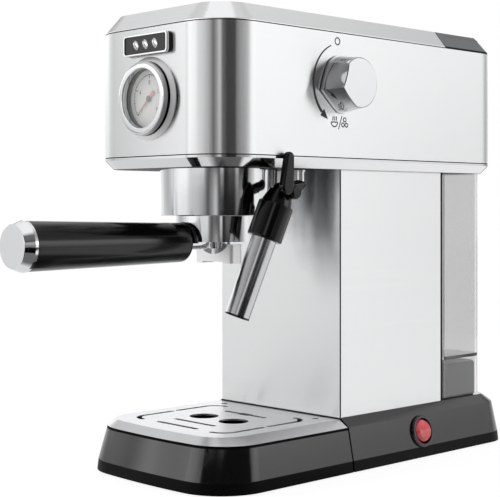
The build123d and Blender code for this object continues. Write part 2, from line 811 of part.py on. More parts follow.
# Chrome bottom bezel: a shallow pan under the head, open to the group, the column and the tank
lip_inset = sheet + seat_clear
with BuildPart() as bottom_bezel:
    loft([head_plan(bezel_z, bezel_chamfer), head_plan(bezel_edge_z)], ruled=True)
    extrude(head_plan(bezel_edge_z), amount=bezel_band)
    extrude(head_plan(bezel_edge_z, lip_inset), amount=bezel_band + seam + lip_height)
    loft(
        [head_plan(bezel_floor_z, bezel_chamfer + lip_inset), head_plan(bezel_edge_z, lip_inset + lip_thickness)],
        ruled=True,
        mode=Mode.SUBTRACT,
    )
    extrude(head_plan(bezel_edge_z, lip_inset + lip_thickness), amount=2 * lip_height, mode=Mode.SUBTRACT)
    extrude(tank_plan(bezel_z - bezel_wall, -slide_clear), amount=bezel_chamfer + lip_height, mode=Mode.SUBTRACT)
    with Locations((0, service_y, bezel_z)):
        Box(service_width, service_length, 4 * bezel_wall, mode=Mode.SUBTRACT)
    with Locations((0, group_y, bezel_z)):
        Cylinder(group_radius + seat_clear, 4 * bezel_wall, mode=Mode.SUBTRACT)
    with Locations((pipe_x, pipe_y, bezel_z)):
        Cylinder(bush_radius + seat_clear, 4 * bezel_wall, mode=Mode.SUBTRACT)
write(bottom_bezel, "bottom_bezel")

# Stainless head sleeve, with holes for the gauge and the steam valve
gauge_z = sleeve_top_z - gauge_drop
gauge_plane = Plane((0, face_y, gauge_z), x_dir=(1, 0, 0), z_dir=(0, -1, 0))


def knob_plane(x):
    """A plane across the knob's axis, facing outwards."""
    return Plane((x, knob_y, knob_z), x_dir=(0, 1, 0), z_dir=(1, 0, 0))


with BuildPart() as head_sleeve:
    extrude(head_plan(sleeve_z), amount=sleeve_height)
    extrude(head_plan(sleeve_z, sheet), amount=sleeve_height, mode=Mode.SUBTRACT)
    with Locations(gauge_plane):
        Cylinder(gauge_case_radius + seat_clear, 4 * sheet, mode=Mode.SUBTRACT)
    with Locations(knob_plane(head_side)):
        Cylinder(valve_neck_radius + seat_clear, 4 * sheet, mode=Mode.SUBTRACT)
write(head_sleeve, "head_sleeve")

# Partition between the works and the tank's well
with BuildPart() as head_partition:
    with Locations((0, lid_y, sleeve_z + lip_height + seat_clear)):
        Box(
            head_width - 2 * lip_inset,
            partition_thickness,
            sleeve_height - lip_height - 2 * seat_clear,
            align=(Align.CENTER, Align.MIN, Align.MIN),
        )
write(head_partition, "head_partition")


# Cap of the head: the satin cover in front and the dark tank lid behind share one form
def cap_section(y):
    """The cap's cross-section, standing across the head at y."""
    with BuildSketch(cut_at(y)) as section:
        with BuildLine():
            Polyline(
                (-head_side, cap_z),
                (head_side, cap_z),
                (head_side, cap_edge_z),
                (head_side - cap_inset, top_z),
                (cap_inset - head_side, top_z),
                (-head_side, cap_edge_z),
                close=True,
            )
        make_face()
    return section.sketch


cap_roof_z = top_z - cap_wall
with BuildPart() as cap_form:
    extrude(head_plan(cap_z), amount=cap_band)
    loft([head_plan(cap_edge_z), head_plan(top_z, cap_inset)], ruled=True)
    extrude(head_plan(cap_z, cap_wall), amount=cap_band, mode=Mode.SUBTRACT)
    loft(
        [head_plan(cap_edge_z, cap_wall), head_plan(cap_roof_z, cap_inset + cap_wall / 2)],
        ruled=True,
        mode=Mode.SUBTRACT,
    )

cover_back_y = lid_y - lid_gap / 2
with BuildPart() as top_cover:
    add(cap_form.part)
    split(bisect_by=cut_at(cover_back_y), keep=Keep.TOP)
    extrude(cap_section(cover_back_y), amount=cap_wall)
    with BuildSketch(Plane.XY.offset(cap_z - lip_height)):
        add(head_plan(0, lip_inset))
        add(head_plan(0, lip_inset + lip_thickness), mode=Mode.SUBTRACT)
        with Locations((0, cover_back_y)):
            Rectangle(head_width, head_length, align=(Align.CENTER, Align.MIN), mode=Mode.SUBTRACT)
    extrude(amount=lip_height + cap_band)
write(top_cover, "top_cover")

lid_front_y = lid_y + lid_gap / 2
with BuildPart() as tank_lid:
    add(cap_form.part)
    split(bisect_by=cut_at(lid_front_y), keep=Keep.BOTTOM)
    extrude(cap_section(lid_front_y + cap_wall), amount=cap_wall)
    with BuildSketch(Plane.XY.offset(tank_top_z + lie_clear)):
        add(tank_plan(0, tank_wall + slide_clear))
        add(tank_plan(0, tank_wall + slide_clear + cap_wall), mode=Mode.SUBTRACT)
    extrude(amount=top_z - tank_top_z - cap_wall)
    with BuildSketch(Plane.XY.offset(tank_top_z + lie_clear)):
        add(tank_plan(0, 0))
        add(tank_plan(0, tank_wall + slide_clear), mode=Mode.SUBTRACT)
    extrude(amount=top_z - tank_top_z - cap_wall)
    with BuildSketch(Plane.XY.offset(cap_z)):
        add(head_plan(0))
        add(head_plan(0, cap_wall), mode=Mode.SUBTRACT)
    extrude(amount=lid_shadow, mode=Mode.SUBTRACT)
write(tank_lid, "tank_lid")

# Nameplate: a black block with a bright rim round a bare face
plate_plane = Plane((0, face_y, sleeve_top_z - plate_drop), x_dir=(1, 0, 0), z_dir=(0, -1, 0))
with BuildPart() as nameplate:
    with BuildSketch(plate_plane):
        RectangleRounded(plate_width, plate_height, plate_corner)
    extrude(amount=plate_depth)
write(nameplate, "nameplate")

with BuildPart() as nameplate_rim:
    with BuildSketch(plate_plane.offset(plate_depth)):
        RectangleRounded(plate_width, plate_height, plate_corner)
        RectangleRounded(
            plate_width - 2 * plate_rim_width,
            plate_height - 2 * plate_rim_width,
            plate_corner - plate_rim_width / 2,
            mode=Mode.SUBTRACT,
        )
    extrude(amount=plate_rim_height)
    fillet(nameplate_rim.faces().sort_by(Axis.Y)[0].edges(), plate_rim_width / 4)
write(nameplate_rim, "nameplate_rim")

# Gauge: boss, case, movement, dial, needle, lens and bezel, all round one axis
gauge_axis = Axis((0, face_y, gauge_z), (0, 1, 0))
gauge_section = Plane((0, face_y, gauge_z), x_dir=(1, 0, 0), z_dir=(0, 0, 1))
dial_back = dial_setback + dial_thickness
case_bore = gauge_case_radius - gauge_case_wall
with BuildPart() as gauge_boss:
    revolve(
        turned(
            [
                (gauge_case_radius + seat_clear, 0),
                (boss_disc_radius, 0),
                (boss_disc_radius, -boss_disc_edge),
                (boss_flat_radius, -boss_disc_height),
                (gauge_case_radius + seat_clear, -boss_disc_height),
            ],
            gauge_section,
        ),
        axis=gauge_axis,
    )
write(gauge_boss, "gauge_boss")

with BuildPart() as gauge_case:
    revolve(
        turned(
            [
                (gauge_case_radius, -boss_disc_height),
                (gauge_case_radius, gauge_case_depth),
                (0, gauge_case_depth),
                (0, gauge_case_depth - gauge_case_wall),
                (case_bore - gauge_case_wall, gauge_case_depth - gauge_case_wall),
                (case_bore - gauge_case_wall, dial_back),
                (case_bore, dial_back),
                (case_bore, -boss_disc_height),
            ],
            gauge_section,
        ),
        axis=gauge_axis,
    )
write(gauge_case, "gauge_case")

with BuildPart() as gauge_movement:
    with BuildSketch(gauge_plane.offset(-dial_back - seat_clear)):
        Circle(movement_radius)
        Circle(needle_arbor_radius + run_clear, mode=Mode.SUBTRACT)
    extrude(amount=dial_back + gauge_case_wall - gauge_case_depth + seat_clear)
write(gauge_movement, "gauge_movement")

with BuildPart() as gauge_dial:
    with BuildSketch(gauge_plane.offset(-dial_back)):
        Circle(case_bore - seat_clear)
        Circle(needle_arbor_radius + lie_clear, mode=Mode.SUBTRACT)
    extrude(amount=dial_thickness)
write(gauge_dial, "gauge_dial")

needle_plane = gauge_plane.offset(needle_lift - dial_setback)
with BuildPart() as gauge_needle:
    with BuildSketch(Plane(needle_plane.location * Rotation(0, 0, needle_rest_angle))):
        with BuildLine():
            Polyline(
                (needle_length, 0),
                (0, needle_width / 2),
                (-needle_tail, needle_tail_width / 2),
                (-needle_tail, -needle_tail_width / 2),
                (0, -needle_width / 2),
                close=True,
            )
        make_face()
        Circle(needle_hub_radius)
    extrude(amount=needle_thickness)
    with Locations(needle_plane):
        Cylinder(needle_hub_radius * 0.7, 2 * needle_thickness, align=GROW)
        Cylinder(needle_arbor_radius, needle_arbor_length, align=HANG)
write(gauge_needle, "gauge_needle")

lens_back = -boss_disc_height
with BuildPart() as gauge_lens:
    with BuildSketch(gauge_plane.offset(-lens_back)):
        Circle(lens_radius)
    extrude(amount=lens_thickness)
write(gauge_lens, "gauge_lens")

bezel_front = -boss_disc_height - gauge_bezel_height
lens_front = lens_back - lens_thickness - seat_clear
with BuildPart() as gauge_bezel:
    revolve(
        turned(
            [
                (gauge_bezel_radius, -boss_disc_height),
                (gauge_bezel_radius, bezel_front),
                (gauge_opening_radius, bezel_front),
                (gauge_opening_radius, lens_front),
                (lens_radius + seat_clear, lens_front),
                (lens_radius + seat_clear, -boss_disc_height),
            ],
            gauge_section,
        ),
        axis=gauge_axis,
    )
    front_rims = gauge_bezel.edges().filter_by(GeomType.CIRCLE).group_by(Axis.Y)[0].sort_by(SortBy.RADIUS)
    fillet(front_rims[0], gauge_bezel_inner_round)
    front_rims = gauge_bezel.edges().filter_by(GeomType.CIRCLE).group_by(Axis.Y)[0].sort_by(SortBy.RADIUS)
    fillet(front_rims[-1], gauge_bezel_round)
write(gauge_bezel, "gauge_bezel")

# Brew group: chrome skirt, group head with its bayonet, gasket, shower screen
group_axis = Axis((0, group_y, 0), (0, 0, 1))
group_section = Plane((0, group_y, 0), x_dir=(1, 0, 0), z_dir=(0, -1, 0))
skirt_bottom_z = bezel_z - skirt_height
lip_bottom_z = bezel_z - bayonet_lip_drop
lip_top_z = lip_bottom_z + bayonet_lip_height
bayonet_top_z = lip_top_z + bayonet_height
gasket_z = bayonet_top_z + gasket_height
group_top_z = bezel_floor_z + group_flange_height
ring_bore = ring_radius + slide_clear


def sectors(z, radius, angle, half_angle):
    """Two opposite sectors of a disc on the brewing axis, the first one centred on an angle from +X."""
    with BuildSketch(Plane.XY.offset(z)) as fan:
        for middle in (angle, angle + 180):
            rim = [
                (radius * cos(radians(middle + turn)), group_y + radius * sin(radians(middle + turn)))
                for turn in (-half_angle, 0, half_angle)
            ]
            with BuildLine():
                Line((0, group_y), rim[0])
                ThreePointArc(*rim)
                Line(rim[2], (0, group_y))
            make_face()
    return fan.sketch


with BuildPart() as group_skirt:
    revolve(
        turned(
            [
                (skirt_radius, bezel_z),
                (skirt_radius - skirt_taper, skirt_bottom_z),
                (skirt_mouth_radius, skirt_bottom_z),
                (skirt_mouth_radius, skirt_bottom_z + skirt_wall),
                (skirt_radius - skirt_taper - skirt_wall, skirt_bottom_z + skirt_wall),
                (skirt_radius - skirt_wall, bezel_z),
            ],
            group_section,
        ),
        axis=group_axis,
    )
    fillet(group_skirt.edges().filter_by(GeomType.CIRCLE).group_by(Axis.Z)[0].sort_by(SortBy.RADIUS)[-1], seam)
write(group_skirt, "group_skirt")

with BuildPart() as group_head:
    revolve(
        turned(
            [
                (0, group_top_z),
                (group_flange_radius, group_top_z),
                (group_flange_radius, bezel_floor_z),
                (group_radius, bezel_floor_z),
                (group_radius, lip_bottom_z),
                (ring_bore, lip_bottom_z),
                (ring_bore, lip_top_z),
                (bayonet_radius, lip_top_z),
                (bayonet_radius, bayonet_top_z),
                (ring_bore, bayonet_top_z),
                (ring_bore, gasket_z),
                (0, gasket_z),
            ],
            group_section,
        ),
        axis=group_axis,
    )
    notches = sectors(lip_bottom_z, bayonet_radius, unlock_angle, bayonet_notch_half_angle)
    extrude(notches, amount=bayonet_lip_height, mode=Mode.SUBTRACT)
    with Locations((0, group_y, gasket_z)):
        Cylinder(shower_screw_radius + seat_clear, shower_screw_head_radius * 3, mode=Mode.SUBTRACT)
write(group_head, "group_head")

with BuildPart() as group_gasket:
    with BuildSketch(Plane.XY.offset(bayonet_top_z)):
        with Locations((0, group_y)):
            Circle(ring_bore - seat_clear)
            Circle(gasket_bore_radius, mode=Mode.SUBTRACT)
    extrude(amount=gasket_height)
write(group_gasket, "group_gasket")

screen_z = gasket_z - screen_thickness
with BuildPart() as shower_screen:
    with BuildSketch(Plane.XY.offset(screen_z)):
        with Locations((0, group_y)):
            Circle(screen_radius)
            Circle(shower_screw_radius + seat_clear, mode=Mode.SUBTRACT)
            for ring_share, count in ((0.4, 12), (0.62, 20), (0.84, 28)):
                with PolarLocations(ring_share * screen_radius, count):
                    Circle(screen_hole_radius, mode=Mode.SUBTRACT)
    extrude(amount=screen_thickness)
write(shower_screen, "shower_screen")

with BuildPart() as shower_screw:
    with Locations((0, group_y, screen_z)):
        Cylinder(shower_screw_head_radius, shower_screw_head_height, align=HANG)
        Cylinder(shower_screw_radius, shower_screw_head_radius * 1.5, align=GROW)
    with Locations((0, group_y, screen_z - shower_screw_head_height)):
        Box(3 * shower_screw_head_radius, screw_slot_width, 2 * screw_slot_depth, mode=Mode.SUBTRACT)
write(shower_screw, "shower_screw")

# Thermoblock: two cast halves over the group head
block_top_z = group_top_z + block_height
with BuildPart() as thermoblock:
    with Locations((0, group_y, group_top_z)):
        Box(block_width, block_depth, block_height, align=GROW)
    fillet(thermoblock.edges().filter_by(Axis.Z), 2 * block_groove)
    with Locations((0, group_y, group_top_z + block_height / 2)):
        Box(2 * block_width, 2 * block_depth, block_groove, mode=Mode.SUBTRACT)
        Box(block_width - 2 * block_groove, block_depth - 2 * block_groove, block_groove)
write(thermoblock, "thermoblock")

# Filter holder ring with its ears, floor, boss and neck, in one casting
ring_top_z = bayonet_top_z - lie_clear - basket_rim_thickness - lie_clear
ring_z = ring_top_z - ring_height
handle_z = ring_z - handle_drop
ear_z = lip_top_z + lie_clear
boss_z = ring_z - boss_drop
with BuildPart() as holder_ring:
    revolve(
        turned(
            [
                (0, boss_z),
                (holder_boss_radius, boss_z),
                (holder_boss_radius, ring_z),
                (ring_radius, ring_z),
                (ring_radius, ring_top_z),
                (ring_radius - ring_wall, ring_top_z),
                (ring_radius - ring_wall, ring_z + ring_floor),
                (0, ring_z + ring_floor),
            ],
            group_section,
        ),
        axis=group_axis,
    )
    extrude(sectors(ear_z, ear_radius, 0, ear_half_angle), amount=ear_height)
    with Locations(Plane((0, group_y - neck_root, handle_z), z_dir=(0, -1, 0))):
        Cylinder(neck_radius, neck_reach - neck_root, align=GROW)
    with Locations((0, group_y, ring_z + ring_floor)):
        Cylinder(ring_radius - ring_wall, ring_height, align=GROW, mode=Mode.SUBTRACT)
        Cylinder(spout_bore_radius, 6 * boss_drop, mode=Mode.SUBTRACT)
write(holder_ring, "holder_ring")

# Filter basket: a thin cup that hangs in the ring by its rim
basket_rim_z = ring_top_z + lie_clear
with BuildPart() as filter_basket:
    revolve(
        turned(
            [
                (basket_rim_radius, basket_rim_z),
                (basket_rim_radius, basket_rim_z + basket_rim_thickness),
                (basket_radius - basket_sheet, basket_rim_z + basket_rim_thickness),
                (basket_radius - basket_taper - basket_sheet, basket_rim_z - basket_depth + basket_sheet),
                (0, basket_rim_z - basket_depth + basket_sheet),
                (0, basket_rim_z - basket_depth),
                (basket_radius - basket_taper, basket_rim_z - basket_depth),
                (basket_radius, basket_rim_z),
            ],
            group_section,
        ),
        axis=group_axis,
    )
    with BuildSketch(Plane.XY.offset(basket_rim_z - basket_depth)):
        with Locations((0, group_y)):
            for ring_share, count in ((0.2, 6), (0.45, 14), (0.7, 22)):
                with PolarLocations(ring_share * basket_radius, count):
                    Circle(screen_hole_radius)
    extrude(amount=basket_sheet, mode=Mode.SUBTRACT)
write(filter_basket, "filter_basket")

# Twin spout under the holder's boss: two square legs joined by a saddle, with a round stem in its middle
spout_top_z = ring_z - spout_drop
spout_z = spout_top_z - spout_height
saddle_z = spout_top_z - spout_dip
channel_z = spout_z + spout_channel_rise
spout_half = spout_length / 2
saddle_half = spout_half - spout_shoulder
foot_half = spout_half - spout_foot
with BuildPart() as spout_block:
    with BuildSketch(cut_at(group_y - spout_width / 2)):
        with BuildLine():
            Polyline(
                (-saddle_half, spout_top_z),
                (-spout_half, spout_top_z),
                (-spout_half, spout_z),
                (-foot_half, spout_z),
                (spout_foot_rise - foot_half, spout_z + spout_foot_rise),
                (foot_half - spout_foot_rise, spout_z + spout_foot_rise),
                (foot_half, spout_z),
                (spout_half, spout_z),
                (spout_half, spout_top_z),
                (saddle_half, spout_top_z),
            )
            ThreePointArc((saddle_half, spout_top_z), (0, saddle_z), (-saddle_half, spout_top_z))
        make_face()
    extrude(amount=-spout_width)
    fillet(spout_block.edges().filter_by(Axis.Z).filter_by_position(Axis.Z, spout_z, spout_top_z), spout_corner)
    with Locations((0, group_y, channel_z)):
        Cylinder(spout_stem_radius, boss_z - channel_z, align=GROW)
    with Locations((0, group_y, spout_z)):
        with GridLocations(spout_pitch, 1, 2, 1):
            Cylinder(spout_bore_radius, 2 * (spout_channel_rise + spout_channel_radius), mode=Mode.SUBTRACT)
    with Locations((0, group_y, channel_z)):
        Cylinder(spout_bore_radius, spout_height, align=GROW, mode=Mode.SUBTRACT)
    with Locations(Plane((0, group_y, channel_z), z_dir=(1, 0, 0))):
        Cylinder(spout_channel_radius, spout_pitch, mode=Mode.SUBTRACT)
write(spout_block, "spout_block")

# Handle: black guard and grip, steel stud, chrome end cap
handle_axis = Axis((0, group_y, handle_z), (0, -1, 0))
handle_section = Plane((0, group_y, handle_z), x_dir=(1, 0, 0), z_dir=(0, 0, 1))


def handle_plane(reach):
    """A plane across the handle at a reach from the brewing axis, facing the user."""
    return Plane((0, group_y - reach, handle_z), x_dir=(1, 0, 0), z_dir=(0, -1, 0))


guard_reach = handle_front_reach - seat_clear
with BuildPart() as thumb_guard:
    with BuildSketch(handle_plane(guard_reach)):
        Circle(guard_radius)
        with Locations((0, -guard_lower_edge)):
            Rectangle(4 * guard_radius, 2 * guard_radius, align=(Align.CENTER, Align.MAX), mode=Mode.SUBTRACT)
        Circle(neck_radius + seat_clear, mode=Mode.SUBTRACT)
    extrude(amount=-guard_thickness)
    fillet(thumb_guard.faces().sort_by(Axis.Y)[0].edges().sort_by(SortBy.LENGTH)[-1], guard_round)
write(thumb_guard, "thumb_guard")

with BuildPart() as handle_grip:
    revolve(
        turned(
            [
                (neck_radius + seat_clear, -handle_front_reach),
                (handle_front_radius, -handle_front_reach),
                (handle_rear_radius, -handle_rear_reach),
                (stud_radius + seat_clear, -handle_rear_reach),
                (stud_radius + seat_clear, -neck_reach - seat_clear),
                (neck_radius + seat_clear, -neck_reach - seat_clear),
            ],
            handle_section,
        ),
        axis=handle_axis,
    )
    front_rim = handle_grip.edges().filter_by(GeomType.CIRCLE).group_by(Axis.Y)[-1].sort_by(SortBy.RADIUS)[-1]
    fillet(front_rim, handle_front_round)
write(handle_grip, "handle_grip")

with BuildPart() as handle_stud:
    with Locations(handle_plane(neck_reach)):
        Cylinder(stud_radius, handle_rear_reach + stud_engagement - neck_reach, align=GROW)
write(handle_stud, "handle_stud")

cap_start = handle_rear_reach + seat_clear
with BuildPart() as handle_cap:
    revolve(
        turned(
            [
                (stud_radius + seat_clear, -cap_start),
                (handle_cap_radius, -cap_start),
                (handle_cap_radius, -cap_start - handle_cap_band),
                (handle_cap_radius - handle_cap_taper, -handle_end_reach),
                (0, -handle_end_reach),
                (0, -handle_rear_reach - stud_engagement - seat_clear),
                (stud_radius + seat_clear, -handle_rear_reach - stud_engagement - seat_clear),
            ],
            handle_section,
        ),
        axis=handle_axis,
    )
    fillet(handle_cap.edges().filter_by(GeomType.CIRCLE).group_by(Axis.Y)[0], handle_cap_round)
write(handle_cap, "handle_cap")

# Steam valve behind the right wall, its nut and its spindle
valve_end_x = valve_inner_x + valve_body
inner_wall_x = head_side - sheet
neck_end_x = head_side + nut_thickness
valve_mid_x = valve_inner_x + valve_body / 2
with BuildPart() as steam_valve:
    with Locations(knob_plane(valve_inner_x)):
        Box(valve_body, valve_body, valve_body, align=GROW)
    chamfer(steam_valve.edges(), sheet)
    with Locations(knob_plane(valve_end_x)):
        Cylinder(valve_neck_radius, neck_end_x - valve_end_x, align=GROW)
    with Locations(knob_plane(inner_wall_x)):
        Cylinder(valve_collar_radius, valve_collar, align=HANG)
    with Locations(knob_plane(spindle_inner_x - run_clear)):
        Cylinder(spindle_radius + run_clear, head_width, align=GROW, mode=Mode.SUBTRACT)
write(steam_valve, "steam_valve")

with BuildPart() as valve_nut:
    with BuildSketch(knob_plane(head_side)):
        RegularPolygon(nut_across_flats / 2, 6, major_radius=False)
        Circle(valve_neck_radius + seat_clear, mode=Mode.SUBTRACT)
    extrude(amount=nut_thickness)
write(valve_nut, "valve_nut")

knob_x = head_side + knob_gap
knob_end_x = knob_x + knob_length
spindle_end_x = knob_end_x - spindle_end_gap
with BuildPart() as valve_spindle:
    with Locations(knob_plane(spindle_inner_x)):
        Cylinder(spindle_radius, spindle_end_x - spindle_inner_x, align=GROW)
write(valve_spindle, "valve_spindle")


# Steam knob: a tapered round knob with a pointer ridge, hollow behind
def knob_outline(x, radius, reach, hollow):
    """A circle with a pointer ridge, hollowed on its upper flank, at x along the knob's axis."""

    def spot(distance, angle):
        """A point at a distance from the axis, at an angle from the pointer."""
        return (
            distance * cos(radians(knob_pointer_angle + angle)),
            distance * sin(radians(knob_pointer_angle + angle)),
        )

    with BuildSketch(knob_plane(x)) as outline:
        with BuildLine():
            ThreePointArc(spot(reach, 0), spot(radius - knob_flank, 30), spot(radius, 62))
            ThreePointArc(spot(radius, 62), spot(radius, 180), spot(radius, -60))
            ThreePointArc(spot(radius, -60), spot(radius - hollow, -28), spot(reach, 0))
        make_face()
    return outline.sketch


knob_body_x = knob_x + knob_lip
knob_body_radius = knob_base_radius - knob_lip_step
knob_body_reach = knob_base_reach - knob_lip_step
with BuildPart() as steam_knob:
    extrude(knob_outline(knob_x, knob_base_radius, knob_base_reach, knob_base_hollow), amount=knob_lip)
    loft(
        [
            knob_outline(knob_body_x, knob_body_radius, knob_body_reach, knob_base_hollow),
            knob_outline(knob_end_x, knob_face_radius, knob_face_reach, knob_face_hollow),
        ],
        ruled=True,
    )
    fillet(steam_knob.faces().sort_by(Axis.X)[-1].edges(), knob_edge)
    with Locations(knob_plane(knob_x)):
        Cylinder(knob_hollow_radius, knob_hollow_depth, align=GROW, mode=Mode.SUBTRACT)
        Cylinder(spindle_radius + seat_clear, spindle_end_x - knob_x + seat_clear, align=GROW, mode=Mode.SUBTRACT)
write(steam_knob, "steam_knob")

# Bush in the bezel that the steam pipe turns in
pipe_axis = Axis((pipe_x, pipe_y, 0), (0, 0, 1))
pipe_section = Plane((pipe_x, pipe_y, 0), x_dir=(1, 0, 0), z_dir=(0, -1, 0))
bush_top_z = bezel_z + bush_height
bush_bottom_z = bezel_z - bush_flange
bush_bore = pipe_radius + run_clear
with BuildPart() as wand_bush:
    revolve(
        turned(
            [
                (bush_bore, bush_bottom_z),
                (bush_flange_radius, bush_bottom_z),
                (bush_flange_radius, bezel_z),
                (bush_radius, bezel_z),
                (bush_radius, bush_top_z),
                (pipe_bore, bush_top_z),
                (pipe_bore, bush_top_z - bush_roof),
                (bush_bore, bush_top_z - bush_roof),
            ],
            pipe_section,
        ),
        axis=pipe_axis,
    )
write(wand_bush, "wand_bush")

# Chrome steam pipe that turns in the bush and carries the wand
elbow_z = bezel_z - elbow_drop
pipe_top_z = bush_top_z - bush_roof - lie_clear
collar_top_z = bush_bottom_z - lie_clear
with BuildPart() as steam_pipe:
    revolve(
        turned(
            [
                (pipe_bore, elbow_z - socket_depth),
                (pipe_radius, elbow_z - socket_depth),
                (pipe_radius, collar_top_z - pipe_collar),
                (pipe_collar_radius, collar_top_z - pipe_collar),
                (pipe_collar_radius, collar_top_z),
                (pipe_radius, collar_top_z),
                (pipe_radius, pipe_top_z),
                (pipe_bore, pipe_top_z),
            ],
            pipe_section,
        ),
        axis=pipe_axis,
    )
write(steam_pipe, "steam_pipe")

# Wand: everything below the elbow lies on one leaning axis
wand_plane = Plane((wand_top_x, face_y + wand_top_setback, bezel_z - wand_top_drop), z_dir=wand_lean)
cone_plane = wand_plane.offset(-cone_height)
elbow_centre = Vector(pipe_x, pipe_y, elbow_z)
arm = cone_plane.origin - elbow_centre
paddle_x = head_side + paddle_gap
paddle_end_x = paddle_x + paddle_thickness
paddle_low = (face_y + paddle_low_setback, bezel_z - paddle_low_drop)
paddle_top = (face_y + paddle_top_setback, bezel_z + paddle_top_rise)
paddle_plane = Plane((paddle_x, 0, 0), x_dir=(0, 1, 0), z_dir=(1, 0, 0))
pivot_spot = (face_y + pivot_setback, bezel_z - pivot_drop)
with BuildPart() as wand_elbow:
    with BuildSketch(paddle_plane):
        with Locations(paddle_low):
            Circle(paddle_low_radius)
        with Locations(paddle_top):
            Circle(paddle_top_radius)
        make_hull()
    extrude(amount=paddle_thickness)
    fillet(wand_elbow.faces().filter_by(Axis.X).edges(), paddle_round)
    with BuildPart(mode=Mode.PRIVATE) as pivot:
        with Locations(Plane((wand_top_x, *pivot_spot), z_dir=(1, 0, 0))):
            Cylinder(pivot_radius, paddle_end_x - wand_top_x, align=GROW)
        fillet(pivot.edges().filter_by(GeomType.CIRCLE).sort_by(Axis.X)[-1], pivot_round)
    add(pivot.part)
    with Locations(elbow_centre):
        Sphere(arm_radius)
        Cylinder(arm_radius, socket_rise, align=GROW)
    with Locations(Plane(elbow_centre, z_dir=arm)):
        Cylinder(arm_radius, arm.length, align=GROW)
    with Locations(cone_plane):
        Sphere(elbow_radius)
        Cone(cone_radius, cone_base_radius, cone_height, align=GROW)
    with Locations((pipe_x, pipe_y, elbow_z - socket_depth)):
        Cylinder(pipe_radius + seat_clear, 2 * (socket_depth + socket_rise), align=GROW, mode=Mode.SUBTRACT)
write(wand_elbow, "wand_elbow")

with BuildPart() as wand_sleeve:
    with BuildSketch(wand_plane):
        Circle(grip_radius)
    extrude(amount=grip_length)
    fillet(wand_sleeve.edges(), grip_round)
    with Locations(wand_plane.offset(grip_length)):
        Cylinder(spigot_radius, spigot_length, align=GROW)
    with Locations(wand_plane.offset(grip_length)):
        Cylinder(nozzle_radius + seat_clear, spigot_length * 2, mode=Mode.SUBTRACT)
write(wand_sleeve, "wand_sleeve")

with BuildPart() as frother_nozzle:
    with Locations(wand_plane.offset(grip_length - spigot_length)):
        Cylinder(nozzle_radius, nozzle_length, align=GROW)
        Cylinder(pipe_bore, 3 * nozzle_length, mode=Mode.SUBTRACT)
write(frother_nozzle, "frother_nozzle")

with BuildPart() as frother_tube:
    with BuildSketch(wand_plane.offset(grip_length + lie_clear)):
        Circle(frother_radius)
        Circle(frother_radius - frother_wall, mode=Mode.SUBTRACT)
    extrude(amount=frother_length)
write(frother_tube, "frother_tube")

# Hoses and the gauge's tube
block_back_y = group_y + block_depth / 2
steam_tap_y = block_back_y - 2 * hose_radius
pressure_port_z = group_top_z + block_height / 4
hose_low_z = deck_z - base_wall - dock_spigot_length - hose_bend / 2
suction_hose = tube(
    [
        (0, tank_mid_y, deck_z - dock_spigot_length),
        (0, tank_mid_y, hose_low_z - hose_bend),
        (pump_x, pump_y, hose_low_z - hose_bend),
        (pump_x, pump_y, pump_z - pump_port_height),
    ],
    hose_bend,
    hose_radius,
    hose_bore,
)
write(suction_hose, "suction_hose")

pressure_hose = tube(
    [
        (pump_x, pump_y, coil_top_z + pump_neck_height + pump_port_height),
        (pump_x, pump_y, pressure_port_z),
        (pump_x, block_back_y, pressure_port_z),
    ],
    hose_bend,
    hose_radius,
    hose_bore,
)
write(pressure_hose, "pressure_hose")

steam_hose = tube(
    [
        (valve_mid_x, steam_tap_y, block_top_z),
        (valve_mid_x, steam_tap_y, knob_z),
        (valve_mid_x, knob_y - valve_body / 2, knob_z),
    ],
    hose_bend,
    hose_radius,
    hose_bore,
)
write(steam_hose, "steam_hose")

outlet_z = (bush_top_z + knob_z - valve_body / 2) / 2
steam_outlet_hose = tube(
    [
        (valve_mid_x, knob_y, knob_z - valve_body / 2),
        (valve_mid_x, knob_y, outlet_z),
        (pipe_x, pipe_y, outlet_z),
        (pipe_x, pipe_y, bush_top_z),
    ],
    hose_bend,
    hose_radius,
    hose_bore,
)
write(steam_outlet_hose, "steam_outlet_hose")

gauge_tap_y = group_y - block_depth / 2 + 3 * hose_radius
gauge_tube = tube(
    [
        (0, face_y + gauge_case_depth, gauge_z),
        (0, gauge_tap_y, gauge_z),
        (0, gauge_tap_y, block_top_z),
    ],
    hose_radius,
    gauge_tube_radius,
    gauge_tube_radius / 2,
)
write(gauge_tube, "gauge_tube")
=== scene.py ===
"""Looks of a slim pump espresso machine: finishes, printed marks, studio and camera."""

from math import cos, pi, radians, sin

import bmesh
import bpy
from mathutils import Matrix, Vector


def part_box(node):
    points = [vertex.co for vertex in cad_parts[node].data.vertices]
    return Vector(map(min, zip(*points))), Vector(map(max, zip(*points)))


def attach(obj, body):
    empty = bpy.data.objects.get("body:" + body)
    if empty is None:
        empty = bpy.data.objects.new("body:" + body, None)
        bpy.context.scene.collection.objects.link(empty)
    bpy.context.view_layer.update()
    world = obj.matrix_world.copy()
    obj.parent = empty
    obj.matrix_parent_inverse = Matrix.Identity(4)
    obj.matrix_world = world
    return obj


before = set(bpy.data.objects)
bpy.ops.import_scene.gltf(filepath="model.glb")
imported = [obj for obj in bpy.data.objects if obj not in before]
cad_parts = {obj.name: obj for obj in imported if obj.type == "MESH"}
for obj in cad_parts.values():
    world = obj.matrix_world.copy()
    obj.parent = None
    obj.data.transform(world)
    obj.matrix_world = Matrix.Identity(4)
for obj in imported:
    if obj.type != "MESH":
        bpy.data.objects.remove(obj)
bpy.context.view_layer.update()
scene = bpy.context.scene
scene.view_settings.view_transform = "Standard"

